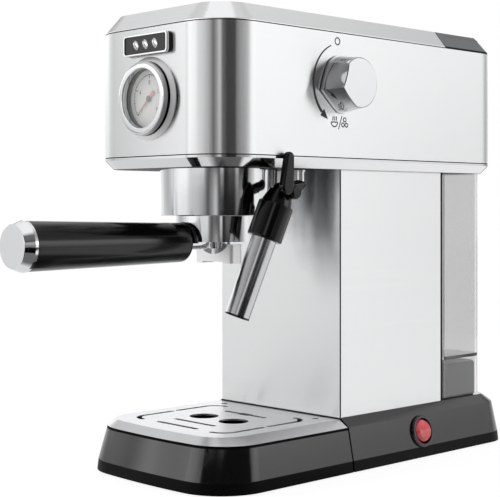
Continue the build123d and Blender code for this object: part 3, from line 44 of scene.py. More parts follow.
# Camera
# A level camera in front of the machine's right corner, with a long lens. The shift keeps the
# uprights parallel, as a view camera does.
camera_data = bpy.data.cameras.new("camera")
camera_data.sensor_width = 36
camera_data.lens = 90.31
camera_data.shift_y = -0.083
camera = bpy.data.objects.new("camera", camera_data)
camera.location = (0.6575, -0.6888, 0.1865)
camera.rotation_euler = (radians(90), 0, radians(46.22))
scene.collection.objects.link(camera)
scene.camera = camera


# Studio
# A round white table stands in a grey room. Broad soft boxes stand on the left and on the right,
# and the side with the camera is left dark, on the table too, which draws the stripes on metal.
def feed(node, inputs):
    """Set a node's inputs, or link those whose value is a socket of another node."""
    for socket, value in inputs.items():
        if isinstance(value, bpy.types.NodeSocket):
            node.id_data.links.new(value, node.inputs[socket])
        else:
            node.inputs[socket].default_value = value


def add(tree, kind, inputs=None, **settings):
    """Add one node, with its settings, and set or link its inputs."""
    made = tree.nodes.new(kind)
    for name, value in settings.items():
        setattr(made, name, value)
    feed(made, inputs or {})
    return made


def linear(colour):
    """Linear red, green, blue and alpha of an sRGB hex colour."""
    channels = [int(colour[i:i + 2], 16) / 255 for i in (1, 3, 5)]
    return [c / 12.92 if c <= 0.04045 else ((c + 0.055) / 1.055) ** 2.4 for c in channels] + [1.0]


def make_object(name, shape, material):
    """Make a finished bmesh an object of the scene, with one finish."""
    data = bpy.data.meshes.new(name)
    shape.to_mesh(data)
    shape.free()
    data.materials.append(material)
    made = bpy.data.objects.new(name, data)
    scene.collection.objects.link(made)
    return made


# How bright the walls and the ceiling are at each heading, in degrees from +X towards +Y
wall_levels = [
    (-180, 1.1),
    (-160, 0.82),
    (-148, 0.7),
    (-144, 0.42),
    (-141.5, 1.04),
    (-139.5, 1.52),
    (-137.5, 1.02),
    (-132, 0.94),
    (-129, 1.35),
    (-111, 1.25),
    (-98, 0.9),
    (-86, 0.78),
    (-77, 0.6),
    (-69, 0.36),
    (-63, 0.14),
    (-57, 0.38),
    (-48, 0.86),
    (-41, 0.12),
    (-35, 0.02),
    (-12, 0.02),
    (-5, 0.27),
    (4, 0.42),
    (20, 0.58),
    (31, 1.2),
    (38, 1.38),
    (44, 1.28),
    (57, 1.02),
    (80, 0.42),
    (136, 1.0),
    (180, 1.1),
]
ceiling_levels = [
    (-180, 0.9),
    (-110, 0.8),
    (-60, 0.3),
    (-20, 0.15),
    (20, 0.2),
    (60, 0.5),
    (95, 0.9),
    (180, 0.9),
]
# Narrow flags stand at the height of the lens; only upright mirrors at that height show them
flag_levels = [
    (-180, 0.8),
    (-160, 0.6),
    (-150, 0.72),
    (-146, 0.95),
    (-142, 0.85),
    (-133, 1.15),
    (-124, 1.3),
    (-110, 1.34),
    (-96, 0.92),
    (-77, 1.0),
    (-72, 1.05),
    (-66, 0.3),
    (-60, 0.1),
    (-54, 0.17),
    (-48, 0.07),
    (-41, 0.14),
    (-37, 0.85),
    (-35, 0.85),
    (-31, 0.02),
    (-19, 0.16),
    (-12, 0.14),
    (-8, 0.6),
    (-6, 0.6),
    (-1, 0.03),
    (14, 0.02),
    (24, 0.6),
    (34, 1.2),
    (45, 1.05),
    (136, 1.3),
    (180, 0.8),
]
# The soft boxes fill a level band of the walls: how strong they are at each slope of the sight line
band_levels = [
    (-1.0, 0.4),
    (-0.22, 0.4),
    (-0.12, 0.78),
    (0.07, 0.88),
    (0.14, 1.75),
    (0.3, 1.75),
    (0.36, 0.45),
    (1.0, 0.4),
]
world = bpy.data.worlds.new("studio")
world.use_nodes = True
scene.world = world
tree = world.node_tree
tree.nodes.clear()
path = add(tree, "ShaderNodeLightPath")
way = add(tree, "ShaderNodeTexCoord")
parts = add(tree, "ShaderNodeSeparateXYZ", {"Vector": way.outputs["Generated"]})
heading = add(tree, "ShaderNodeMath", {0: parts.outputs["Y"], 1: parts.outputs["X"]}, operation="ARCTAN2")
turn = add(tree, "ShaderNodeMapRange", {"Value": heading.outputs[0], "From Min": -pi, "From Max": pi})
slope = add(tree, "ShaderNodeMapRange", {"Value": parts.outputs["Z"], "From Min": -1, "From Max": 1})
ramps = []
for levels, source in (
    (wall_levels, turn),
    (ceiling_levels, turn),
    (flag_levels, turn),
    (band_levels, slope),
):
    ramp = add(tree, "ShaderNodeValToRGB", {"Fac": source.outputs["Result"]})
    ramp.color_ramp.interpolation = "EASE"
    stops = ramp.color_ramp.elements
    begin, end = levels[0][0], levels[-1][0]
    for mark, level in levels:
        stops.new((mark - begin) / (end - begin)).color = (level, level, level, 1)
    stops.remove(stops[0])
    stops.remove(stops[-1])
    ramps.append(ramp.outputs["Color"])
wall_light, ceiling_light, flag_light, band_light = ramps
room = add(
    tree,
    "ShaderNodeMix",
    {"Factor": 1.0, 6: wall_light, 7: band_light},
    data_type="RGBA",
    blend_type="MULTIPLY",
)
height = add(tree, "ShaderNodeMath", {0: parts.outputs["Z"]}, operation="ABSOLUTE")
top_light = (1.1, 1.1, 1.1, 1)
for value, begin, end, light in (
    (height.outputs[0], 0.03, 0.02, flag_light),
    (parts.outputs["Z"], 0.42, 0.6, ceiling_light),
    (parts.outputs["Z"], 0.75, 0.9, top_light),
):
    share = add(tree, "ShaderNodeMapRange", {"Value": value, "From Min": begin, "From Max": end})
    room = add(
        tree,
        "ShaderNodeMix",
        {"Factor": share.outputs["Result"], 6: room.outputs[2], 7: light},
        data_type="RGBA",
    )
bare = add(
    tree,
    "ShaderNodeMath",
    {0: path.outputs["Is Camera Ray"], 1: path.outputs["Is Transmission Ray"]},
    operation="MAXIMUM",
)
soft_light = add(tree, "ShaderNodeBackground", {"Color": (1, 1, 1, 1), "Strength": 0.6})
mirror_light = add(tree, "ShaderNodeBackground", {"Color": room.outputs[2], "Strength": 1.0})
white_light = add(tree, "ShaderNodeBackground", {"Color": (1, 1, 1, 1), "Strength": 1.0})
seen = add(
    tree,
    "ShaderNodeMixShader",
    {0: path.outputs["Is Glossy Ray"], 1: soft_light.outputs[0], 2: mirror_light.outputs[0]},
)
lit = add(tree, "ShaderNodeMixShader", {0: bare.outputs[0], 1: seen.outputs[0], 2: white_light.outputs[0]})
add(tree, "ShaderNodeOutputWorld", {"Surface": lit.outputs[0]})

table_radius = 0.95
table_glow = 0.86
table_strength = 1.05
camera_side = (0.64, -0.77, 0)
right_side = (0.69, 0.72, 0)
laminate = bpy.data.materials.new("white_laminate")
laminate.use_nodes = True
tree = laminate.node_tree
tree.nodes.clear()
path = add(tree, "ShaderNodeLightPath")
mirrored = add(
    tree,
    "ShaderNodeMath",
    {0: path.outputs["Is Glossy Ray"], 1: path.outputs["Is Transmission Ray"]},
    operation="MAXIMUM",
)
seen = add(
    tree,
    "ShaderNodeMath",
    {0: path.outputs["Is Camera Ray"], 1: mirrored.outputs[0]},
    operation="MAXIMUM",
)
bright = add(tree, "ShaderNodeMath", {0: seen.outputs[0], 1: table_glow}, operation="MULTIPLY")
coords = add(tree, "ShaderNodeTexCoord")
aim = add(tree, "ShaderNodeVectorMath", {0: coords.outputs["Object"]}, operation="NORMALIZE")
near = add(tree, "ShaderNodeVectorMath", {0: aim.outputs[0], 1: camera_side}, operation="DOT_PRODUCT")
dim = add(
    tree,
    "ShaderNodeMapRange",
    {"Value": near.outputs["Value"], "From Min": 0.75, "From Max": 0.9, "To Min": 1.0, "To Max": 0.05},
)
right = add(tree, "ShaderNodeVectorMath", {0: aim.outputs[0], 1: right_side}, operation="DOT_PRODUCT")
tilt = add(
    tree,
    "ShaderNodeMapRange",
    {"Value": right.outputs["Value"], "From Min": -0.9, "From Max": 0.9, "To Min": 0.82, "To Max": 1.08},
)
lie = add(
    tree,
    "ShaderNodeMath",
    {0: dim.outputs["Result"], 1: tilt.outputs["Result"]},
    operation="MULTIPLY",
)
shade = add(
    tree,
    "ShaderNodeMix",
    {"Factor": path.outputs["Is Camera Ray"], 2: lie.outputs[0], 3: 1.0},
    data_type="FLOAT",
)
strength = add(tree, "ShaderNodeMath", {0: shade.outputs[0], 1: table_strength}, operation="MULTIPLY")
matt = add(tree, "ShaderNodeBsdfDiffuse", {"Color": (0.82, 0.82, 0.82, 1)})
glow = add(tree, "ShaderNodeEmission", {"Color": (1, 1, 1, 1), "Strength": strength.outputs[0]})
blend = add(tree, "ShaderNodeMixShader", {0: bright.outputs[0], 1: matt.outputs[0], 2: glow.outputs[0]})
add(tree, "ShaderNodeOutputMaterial", {"Surface": blend.outputs[0]})
table_shape = bmesh.new()
bmesh.ops.create_circle(table_shape, cap_ends=True, segments=96, radius=table_radius)
table = make_object("table", table_shape, laminate)

# A bent black flag stands round the near corner, low down: only the base's shine shows it
flag_middle = Vector((0.06, -0.15, 0))
flag_reach = 0.3
flag_height = 0.13
flag_from, flag_to = radians(-93), radians(24)
velvet = bpy.data.materials.new("black_velvet")
velvet.use_nodes = True
tree = velvet.node_tree
tree.nodes.clear()
pile = add(tree, "ShaderNodeBsdfDiffuse", {"Color": (0.004, 0.004, 0.004, 1)})
add(tree, "ShaderNodeOutputMaterial", {"Surface": pile.outputs[0]})
flag_shape = bmesh.new()
flag_start = flag_middle + flag_reach * Vector((cos(flag_from), sin(flag_from), 0))
lower = flag_shape.verts.new(flag_start)
upper = flag_shape.verts.new(flag_start + Vector((0, 0, flag_height)))
flag_edge = flag_shape.edges.new((lower, upper))
bmesh.ops.spin(
    flag_shape,
    geom=[flag_edge, lower, upper],
    cent=flag_middle,
    axis=(0, 0, 1),
    angle=flag_to - flag_from,
    steps=40,
)
flag = make_object("flag", flag_shape, velvet)
flag.visible_camera = False
flag.visible_diffuse = False
flag.visible_shadow = False
flag.visible_transmission = False

machine_middle = Vector((0, 0, 0.16))
for name, place, size, power in (
    ("soft_box_left", (-1.3, -1.2, 1.3), 1.4, 16),
    ("soft_box_right", (1.5, 0.6, 1.2), 1.2, 12),
    ("soft_box_top", (0.0, 0.0, 1.9), 1.6, 12),
):
    lamp_data = bpy.data.lights.new(name, "AREA")
    lamp_data.size = size
    lamp_data.energy = power
    lamp = bpy.data.objects.new(name, lamp_data)
    lamp.location = place
    lamp.rotation_euler = (machine_middle - lamp.location).to_track_quat("-Z", "Y").to_euler()
    lamp.visible_glossy = False
    scene.collection.objects.link(lamp)

# Foot ring, pump mounts and group gasket
# Black rubber, moulded and left dull: its grain breaks the gloss. Real grain is finer than a pixel,
# so here and below it is drawn about a millimetre wide, which is enough to show.
mm = 0.001


def start(name):
    """A new material: itself, its node tree, its shader and its coordinates."""
    material = bpy.data.materials.new(name)
    material.use_nodes = True
    tree = material.node_tree
    return material, tree, tree.nodes["Principled BSDF"], add(tree, "ShaderNodeTexCoord")


def mottle(tree, coords, size, detail, low, high):
    """A noise of one grain size, and the roughness between two levels that it gives."""
    grain = add(
        tree,
        "ShaderNodeTexNoise",
        {"Vector": coords.outputs["Object"], "Scale": 1 / size, "Detail": detail},
    )
    dull = add(tree, "ShaderNodeMapRange", {"Value": grain.outputs["Fac"], "To Min": low, "To Max": high})
    return grain.outputs["Fac"], dull.outputs["Result"]


def dress(material, *names):
    """Give CAD pieces a finish."""
    for name in names:
        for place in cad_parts[name].material_slots:
            place.material = material


rubber, tree, shader, coords = start("moulded_rubber")
grain, dull = mottle(tree, coords, size=0.5 * mm, detail=2, low=0.65, high=0.85)
rise = add(tree, "ShaderNodeBump", {"Height": grain, "Strength": 0.15, "Distance": 0.2 * mm})
feed(shader, {"Base Color": linear("#1C1C1C"), "Specular IOR Level": 0.3})
feed(shader, {"Roughness": dull, "Normal": rise.outputs["Normal"]})
dress(rubber, "foot_ring", "pump_mounts", "group_gasket")

# Base housing and drip tray
# Gloss black ABS, moulded in one colour. The walls are polished; the lower band, the first
# nine millimetres above the table, is matt, in a darker tone and with a weaker shine. The tray's
# upper edge at the front is dark and matt too: a painted shadow line under the grid's border.
tray_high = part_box("drip_tray")[1]
band_top = 8.9 * mm
band_fade = 0.2 * mm
shadow_line_level = tray_high.z - 1.5 * mm
tray_back = tray_high.y + 0.5 * mm
gloss_level = 0.58
matt_level = 0.06
gloss_black, tree, shader, coords = start("gloss_black_abs")
parts = add(tree, "ShaderNodeSeparateXYZ", {"Vector": coords.outputs["Object"]})
band = add(
    tree,
    "ShaderNodeMapRange",
    {"Value": parts.outputs["Z"], "From Min": band_top - band_fade, "From Max": band_top + band_fade},
)
# Painted shadow: the top one and a half millimetres of the tray's front are dark and matt, for the shade
# under the grid's border.
shadow_line_band = add(tree, "ShaderNodeMath", {0: parts.outputs["Z"], 1: shadow_line_level}, operation="GREATER_THAN")
ahead = add(tree, "ShaderNodeMath", {0: parts.outputs["Y"], 1: tray_back}, operation="LESS_THAN")
painted_shadow_line = add(tree, "ShaderNodeMath", {0: shadow_line_band.outputs[0], 1: ahead.outputs[0]}, operation="MULTIPLY")
gloss = add(
    tree,
    "ShaderNodeMath",
    {0: band.outputs["Result"], 1: painted_shadow_line.outputs[0]},
    operation="SUBTRACT",
    use_clamp=True,
)
ripple, polish = mottle(tree, coords, size=11.11 * mm, detail=2, low=0.1, high=0.16)
sheen = add(tree, "ShaderNodeMapRange", {"Value": gloss.outputs[0], "To Min": 0.5, "To Max": polish})
shine = add(
    tree,
    "ShaderNodeMapRange",
    {"Value": gloss.outputs[0], "To Min": matt_level, "To Max": gloss_level},
)
tone = add(
    tree,
    "ShaderNodeMix",
    {"Factor": gloss.outputs[0], 6: linear("#080809"), 7: linear("#0E0E0F")},
    data_type="RGBA",
)
wave = add(tree, "ShaderNodeBump", {"Height": ripple, "Strength": 0.02, "Distance": 0.4 * mm})
feed(shader, {"IOR": 1.54, "Specular IOR Level": gloss_level})
feed(shader, {"Base Color": tone.outputs[2], "Roughness": sheen.outputs["Result"]})
feed(shader, {"Specular IOR Level": shine.outputs["Result"], "Normal": wave.outputs["Normal"]})
dress(gloss_black, "base_shell", "drip_tray")

# Plain black mouldings
# Satin black ABS with a fine spark-eroded grain: the plate under the base, the gland, the panel
# behind the column, the partition and the small inner pieces.
satin_black, tree, shader, coords = start("satin_black_abs")
grain, dull = mottle(tree, coords, size=0.714 * mm, detail=2, low=0.42, high=0.56)
rise = add(tree, "ShaderNodeBump", {"Height": grain, "Strength": 0.08, "Distance": 0.1 * mm})
feed(shader, {"Base Color": linear("#101011"), "IOR": 1.54, "Specular IOR Level": 0.2})
feed(shader, {"Roughness": dull, "Normal": rise.outputs["Normal"]})
dress(
    satin_black,
    "base_plate",
    "cord_gland",
    "column_back",
    "head_partition",
    "gauge_case",
    "tank_valve",
    "wand_bush",
    "frother_nozzle",
)

# Rocker switch
# A red moulded rocker in a black round bezel. Towards its upper end the red is paler, in clouds:
# a painted highlight.
switch_black, tree, shader, coords = start("switch_black_nylon")
_, dull = mottle(tree, coords, size=1.11 * mm, detail=2, low=0.22, high=0.34)
feed(shader, {"Base Color": linear("#101011"), "IOR": 1.53, "Roughness": dull})
dress(switch_black, "switch_body")

rocker_low, rocker_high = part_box("rocker")
# Painted highlight: between these two heights the red turns to pale pink clouds.
highlight_from = rocker_low.z + 5 * mm
highlight_to = rocker_high.z - 3 * mm
rocker_red, tree, shader, coords = start("red_polycarbonate")
cloud, dull = mottle(tree, coords, size=3.85 * mm, detail=2, low=0.2, high=0.32)
parts = add(tree, "ShaderNodeSeparateXYZ", {"Vector": coords.outputs["Object"]})
highlight_share = add(
    tree,
    "ShaderNodeMapRange",
    {"Value": parts.outputs["Z"], "From Min": highlight_from, "From Max": highlight_to},
)
painted_highlight = add(tree, "ShaderNodeMath", {0: highlight_share.outputs["Result"], 1: cloud}, operation="MULTIPLY")
tone = add(
    tree,
    "ShaderNodeMix",
    {"Factor": painted_highlight.outputs[0], 6: linear("#AE0812"), 7: linear("#EA6E76")},
    data_type="RGBA",
)
feed(shader, {"IOR": 1.58, "Coat Weight": 0.45, "Coat Roughness": 0.06})
feed(
    shader,
    {"Subsurface Weight": 0.15, "Subsurface Radius": (4 * mm, 1 * mm, 1 * mm), "Subsurface Scale": 0.3},
)
feed(shader, {"Base Color": tone.outputs[2], "Roughness": dull})
dress(rocker_red, "rocker")

# Drip grid
# Pressed stainless plate with a satin, slightly blasted face: an even, soft shine. The faces
# turned towards +X are paler: a painted highlight.
cloud_size = 33.3 * mm
grid_steel, tree, shader, coords = start("satin_pressed_stainless")
blast, dull = mottle(tree, coords, size=0.769 * mm, detail=3, low=0.26, high=0.4)
cloud = add(
    tree,
    "ShaderNodeTexNoise",
    {"Vector": coords.outputs["Object"], "Scale": 1 / cloud_size, "Detail": 2},
)
tone = add(
    tree,
    "ShaderNodeMix",
    {"Factor": cloud.outputs["Fac"], 6: linear("#CDCED0"), 7: linear("#DADBDC")},
    data_type="RGBA",
)
# Painted highlight: faces turned towards +X get a paler tone.
facing = add(tree, "ShaderNodeSeparateXYZ", {"Vector": coords.outputs["Normal"]})
slope = add(tree, "ShaderNodeMapRange", {"Value": facing.outputs["X"], "From Min": 0.2, "From Max": 0.5})
tone = add(
    tree,
    "ShaderNodeMix",
    {"Factor": slope.outputs["Result"], 6: tone.outputs[2], 7: linear("#F4F4F5")},
    data_type="RGBA",
)
rise = add(tree, "ShaderNodeBump", {"Height": blast, "Strength": 0.05, "Distance": 0.1 * mm})
feed(shader, {"Metallic": 1.0, "Base Color": tone.outputs[2]})
feed(shader, {"Roughness": dull, "Normal": rise.outputs["Normal"]})
dress(grid_steel, "drip_grid")

# Tank dock
# Dark grey ABS pedestal, moulded with a satin face. Its upper three and a half millimetres are
# pale, and it is black round its foot: a painted shadow line.
dock_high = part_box("tank_dock")[1]
tank_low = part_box("water_tank")[0]
crown_level = dock_high.z - 3.5 * mm
dock_shadow_level = tank_low.z + 0.4 * mm
dock_grey, tree, shader, coords = start("dark_grey_abs")
parts = add(tree, "ShaderNodeSeparateXYZ", {"Vector": coords.outputs["Object"]})
crown = add(tree, "ShaderNodeMath", {0: parts.outputs["Z"], 1: crown_level}, operation="GREATER_THAN")
# Painted shadow: the dock is black below this level, round its foot.
dock_shadow = add(tree, "ShaderNodeMath", {0: parts.outputs["Z"], 1: dock_shadow_level}, operation="LESS_THAN")
tone = add(
    tree,
    "ShaderNodeMix",
    {"Factor": crown.outputs[0], 6: linear("#7B7C7E"), 7: linear("#DCDDDE")},
    data_type="RGBA",
)
tone = add(
    tree,
    "ShaderNodeMix",
    {"Factor": dock_shadow.outputs[0], 6: tone.outputs[2], 7: linear("#050505")},
    data_type="RGBA",
)
_, dull = mottle(tree, coords, size=0.833 * mm, detail=2, low=0.38, high=0.52)
feed(shader, {"Base Color": tone.outputs[2], "Roughness": dull})
dress(dock_grey, "tank_dock")

# Water tank
# Smoked clear SAN, moulded with polished walls. Its faint ripple bends what stands behind it.
smoked, tree, shader, coords = start("smoked_clear_san")
ripple, dull = mottle(tree, coords, size=25 * mm, detail=1, low=0.05, high=0.12)
wave = add(tree, "ShaderNodeBump", {"Height": ripple, "Strength": 0.04, "Distance": 0.6 * mm})
feed(shader, {"Base Color": linear("#DFDFDF"), "Transmission Weight": 1.0, "IOR": 1.45})
feed(shader, {"Roughness": dull, "Normal": wave.outputs["Normal"]})
dress(smoked, "water_tank")

# Column and head sleeve
# Folded stainless sheet, belt-brushed along its length, so light spreads up and down only. The real
# lines are finer than a pixel and are drawn a millimetre apart; the near bend is drawn as a dark line.
column_low, column_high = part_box("column_wrap")
bend = 0.8 * mm
bend_right = column_high.x - bend
bend_front = column_low.y + bend
line_length = 111 * mm
line_gap = 0.909 * mm
line_scale = (1 / line_length, 1 / line_length, 1 / line_gap)
brushed, tree, shader, coords = start("brushed_stainless")
along = add(tree, "ShaderNodeMapping", {"Vector": coords.outputs["Object"], "Scale": line_scale})
lines = add(tree, "ShaderNodeTexNoise", {"Vector": along.outputs["Vector"], "Scale": 1.0, "Detail": 4})
tone = add(
    tree,
    "ShaderNodeMix",
    {"Factor": lines.outputs["Fac"], 6: linear("#D7D8D9"), 7: linear("#DEDFDF")},
    data_type="RGBA",
)
parts = add(tree, "ShaderNodeSeparateXYZ", {"Vector": coords.outputs["Object"]})
side = add(tree, "ShaderNodeMath", {0: parts.outputs["X"], 1: bend_right}, operation="GREATER_THAN")
front = add(tree, "ShaderNodeMath", {0: parts.outputs["Y"], 1: bend_front}, operation="LESS_THAN")
under = add(tree, "ShaderNodeMath", {0: parts.outputs["Z"], 1: column_high.z}, operation="LESS_THAN")
corner = add(tree, "ShaderNodeMath", {0: side.outputs[0], 1: front.outputs[0]}, operation="MULTIPLY")
fold = add(tree, "ShaderNodeMath", {0: corner.outputs[0], 1: under.outputs[0]}, operation="MULTIPLY")
tone = add(
    tree,
    "ShaderNodeMix",
    {"Factor": fold.outputs[0], 6: tone.outputs[2], 7: linear("#7C7D7E")},
    data_type="RGBA",
)
dull = add(tree, "ShaderNodeMapRange", {"Value": lines.outputs["Fac"], "To Min": 0.22, "To Max": 0.27})
rise = add(tree, "ShaderNodeBump", {"Height": lines.outputs["Fac"], "Strength": 0.01, "Distance": 0.2 * mm})
lie = add(tree, "ShaderNodeTangent", direction_type="RADIAL", axis="Z")
feed(shader, {"Metallic": 1.0, "Anisotropic": 1.0, "Anisotropic Rotation": 0.25})
feed(shader, {"Base Color": tone.outputs[2], "Roughness": dull.outputs["Result"]})
feed(shader, {"Normal": rise.outputs["Normal"], "Tangent": lie.outputs["Tangent"]})
dress(brushed, "column_wrap", "head_sleeve")


# Strips behind the column
# Two black strips in the rubber finish, bulged outwards, fill the gap between the column and the
# tank: a painted shadow in the gap. Each is a half-round section drawn out to the column's height.
def thicken(shape, depth):
    """Give flat faces a thickness, upwards from the plane they lie in."""
    bmesh.ops.recalc_face_normals(shape, faces=shape.faces)
    for face in shape.faces:
        if face.normal.z < 0:
            face.normal_flip()
    raised = bmesh.ops.extrude_face_region(shape, geom=shape.faces[:])
    lifted = [v for v in raised["geom"] if isinstance(v, bmesh.types.BMVert)]
    bmesh.ops.translate(shape, vec=(0, 0, depth), verts=lifted)
    bmesh.ops.recalc_face_normals(shape, faces=shape.faces)


def add_piece(name, shape, place, material, body):
    """Make a finished bmesh a piece of the machine: put it in place, dress it, let it ride."""
    bmesh.ops.transform(shape, matrix=place, verts=shape.verts)
    piece = make_object(name, shape, material)
    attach(piece, body)


panel_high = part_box("column_back")[1]
strip_middle = (column_high.y + tank_low.y) / 2
strip_bulge = 0.6 * mm
strip_half = 1.5 * mm
strip_steps = 8
end_gap = 0.2 * mm
# Painted shadow: black strips fill the gap between the column and the tank.
gap_shadow_strips = bmesh.new()
for side in (-1, 1):
    section = []
    for step in range(strip_steps + 1):
        angle = pi * step / strip_steps
        out = side * (panel_high.x + strip_bulge * sin(angle))
        back = strip_middle + strip_half * cos(angle)
        section.append(gap_shadow_strips.verts.new((out, back, column_low.z + end_gap)))
    gap_shadow_strips.faces.new(section)
thicken(gap_shadow_strips, column_high.z - column_low.z - 2 * end_gap)
add_piece("column_shadow_strips", gap_shadow_strips, Matrix(), rubber, "chassis")

# Works inside the column and the head
# Bare castings, plated sheet, brass, silicone hose and a circuit board: plain workshop finishes.
cast, tree, shader, coords = start("bare_aluminium_casting")
sand, dull = mottle(tree, coords, size=1.43 * mm, detail=4, low=0.45, high=0.65)
tone = add(
    tree,
    "ShaderNodeMix",
    {"Factor": sand, 6: linear("#9FA1A3"), 7: linear("#B9BABC")},
    data_type="RGBA",
)
rise = add(tree, "ShaderNodeBump", {"Height": sand, "Strength": 0.2, "Distance": 0.2 * mm})
feed(shader, {"Metallic": 1.0, "Base Color": tone.outputs[2]})
feed(shader, {"Roughness": dull, "Normal": rise.outputs["Normal"]})
dress(cast, "pump", "thermoblock", "group_head")

spangle_size = 5.56 * mm
plated, tree, shader, coords = start("zinc_plated_steel")
cells = add(tree, "ShaderNodeTexVoronoi", {"Vector": coords.outputs["Object"], "Scale": 1 / spangle_size})
spangle = cells.outputs["Distance"]
tone = add(
    tree,
    "ShaderNodeMix",
    {"Factor": spangle, 6: linear("#8C9093"), 7: linear("#A6A9AC")},
    data_type="RGBA",
)
dull = add(tree, "ShaderNodeMapRange", {"Value": spangle, "To Min": 0.3, "To Max": 0.42})
feed(shader, {"Metallic": 1.0, "Base Color": tone.outputs[2], "Roughness": dull.outputs["Result"]})
dress(plated, "chassis_frame", "base_screws", "shower_screw", "valve_nut", "valve_spindle", "handle_stud")

brass, tree, shader, coords = start("machined_brass")
turning, dull = mottle(tree, coords, size=1.11 * mm, detail=2, low=0.25, high=0.4)
tone = add(
    tree,
    "ShaderNodeMix",
    {"Factor": turning, 6: linear("#A98442"), 7: linear("#C29F5C")},
    data_type="RGBA",
)
feed(shader, {"Metallic": 1.0, "Base Color": tone.outputs[2], "Roughness": dull})
dress(brass, "steam_valve", "gauge_movement", "gauge_tube")

silicone, tree, shader, coords = start("milky_silicone")
_, dull = mottle(tree, coords, size=1.25 * mm, detail=2, low=0.4, high=0.55)
feed(shader, {"Base Color": linear("#D9D9D3"), "IOR": 1.41, "Transmission Weight": 0.25, "Roughness": dull})
dress(silicone, "suction_hose", "pressure_hose", "steam_hose", "steam_outlet_hose")

track_size = 6.25 * mm
board, tree, shader, coords = start("green_circuit_board")
cells = add(
    tree,
    "ShaderNodeTexVoronoi",
    {"Vector": coords.outputs["Object"], "Scale": 1 / track_size},
    distance="MANHATTAN",
)
tracks = cells.outputs["Distance"]
tone = add(
    tree,
    "ShaderNodeMix",
    {"Factor": tracks, 6: linear("#23492F"), 7: linear("#3B6E4B")},
    data_type="RGBA",
)
dull = add(tree, "ShaderNodeMapRange", {"Value": tracks, "To Min": 0.3, "To Max": 0.45})
feed(shader, {"Base Color": tone.outputs[2], "Roughness": dull.outputs["Result"]})
dress(board, "control_board")

# Bottom bezel
# A pressed pan, chromed and buffed outside; its faces turned downwards are black and rough.
buff_size = 16.67 * mm
pan_chrome, tree, shader, coords = start("black_backed_chrome")
_, polish = mottle(tree, coords, size=buff_size, detail=3, low=0.05, high=0.11)
facing = add(tree, "ShaderNodeSeparateXYZ", {"Vector": coords.outputs["Normal"]})
under = add(tree, "ShaderNodeMath", {0: facing.outputs["Z"], 1: -0.95}, operation="LESS_THAN")
tone = add(
    tree,
    "ShaderNodeMix",
    {"Factor": under.outputs[0], 6: linear("#DADBDC"), 7: linear("#0E0E0F")},
    data_type="RGBA",
)
dull = add(tree, "ShaderNodeMapRange", {"Value": under.outputs[0], "To Min": polish, "To Max": 0.5})
feed(shader, {"Metallic": 1.0, "Base Color": tone.outputs[2], "Roughness": dull.outputs["Result"]})
dress(pan_chrome, "bottom_bezel")

# Bright trim: group skirt, shower screen, nameplate rim, holder ring and steam pipe
# Chromed and buffed, so it mirrors the room almost cleanly; buffing leaves a faint waviness.
chrome, tree, shader, coords = start("buffed_chrome")
buffing, dull = mottle(tree, coords, size=buff_size, detail=3, low=0.05, high=0.11)
wave = add(tree, "ShaderNodeBump", {"Height": buffing, "Strength": 0.015, "Distance": 0.5 * mm})
feed(shader, {"Base Color": linear("#DADBDC"), "Metallic": 1.0})
feed(shader, {"Roughness": dull, "Normal": wave.outputs["Normal"]})
dress(chrome, "group_skirt", "shower_screen", "nameplate_rim", "holder_ring", "steam_pipe")

# Steam knob
# Chromed like the trim, but its flat face is spun to an even satin, so it stays calm and pale while
# the flanks mirror the room and the marks beside it. The rounded rim of the face is a little darker.
knob_chrome, tree, shader, coords = start("satin_faced_chrome")
_, polish = mottle(tree, coords, size=buff_size, detail=3, low=0.05, high=0.1)
facing = add(tree, "ShaderNodeSeparateXYZ", {"Vector": coords.outputs["Normal"]})
outward = facing.outputs["X"]
dull = add(
    tree,
    "ShaderNodeMapRange",
    {"Value": outward, "From Min": 0.97, "From Max": 0.995, "To Min": polish, "To Max": 0.4},
)
off_flank = add(tree, "ShaderNodeMapRange", {"Value": outward, "From Min": 0.25, "From Max": 0.4})
off_face = add(tree, "ShaderNodeMapRange", {"Value": outward, "From Min": 0.97, "From Max": 0.9})
rim = add(
    tree,
    "ShaderNodeMath",
    {0: off_flank.outputs["Result"], 1: off_face.outputs["Result"]},
    operation="MULTIPLY",
)
tone = add(
    tree,
    "ShaderNodeMix",
    {"Factor": rim.outputs[0], 6: linear("#DCDDDE"), 7: linear("#9FA0A2")},
    data_type="RGBA",
)
feed(shader, {"Metallic": 1.0, "Base Color": tone.outputs[2], "Roughness": dull.outputs["Result"]})
dress(knob_chrome, "steam_knob")

# Head sleeve's printed marks
# Dark grey screen print beside the knob: a ring for off, a tapering arc with an arrow head, and
# small signs for steam and water. The ink is a twentieth of a millimetre thick.
print_ink, tree, shader, coords = start("grey_screen_ink")
speck, dull = mottle(tree, coords, size=0.667 * mm, detail=2, low=0.45, high=0.6)
tone = add(
    tree,
    "ShaderNodeMix",
    {"Factor": speck, 6: linear("#161617"), 7: linear("#262628")},
    data_type="RGBA",
)
feed(shader, {"Base Color": tone.outputs[2], "Roughness": dull})


def stroke(shape, start_point, end_point, start_width, end_width):
    """A flat straight stroke between two points, with its own width at each end."""
    start_point = Vector((*start_point, 0))
    end_point = Vector((*end_point, 0))
    across = (end_point - start_point).cross(Vector((0, 0, 1))).normalized()
    corners = [
        start_point + across * start_width / 2,
        end_point + across * end_width / 2,
        end_point - across * end_width / 2,
        start_point - across * start_width / 2,
    ]
    shape.faces.new([shape.verts.new(c) for c in corners])


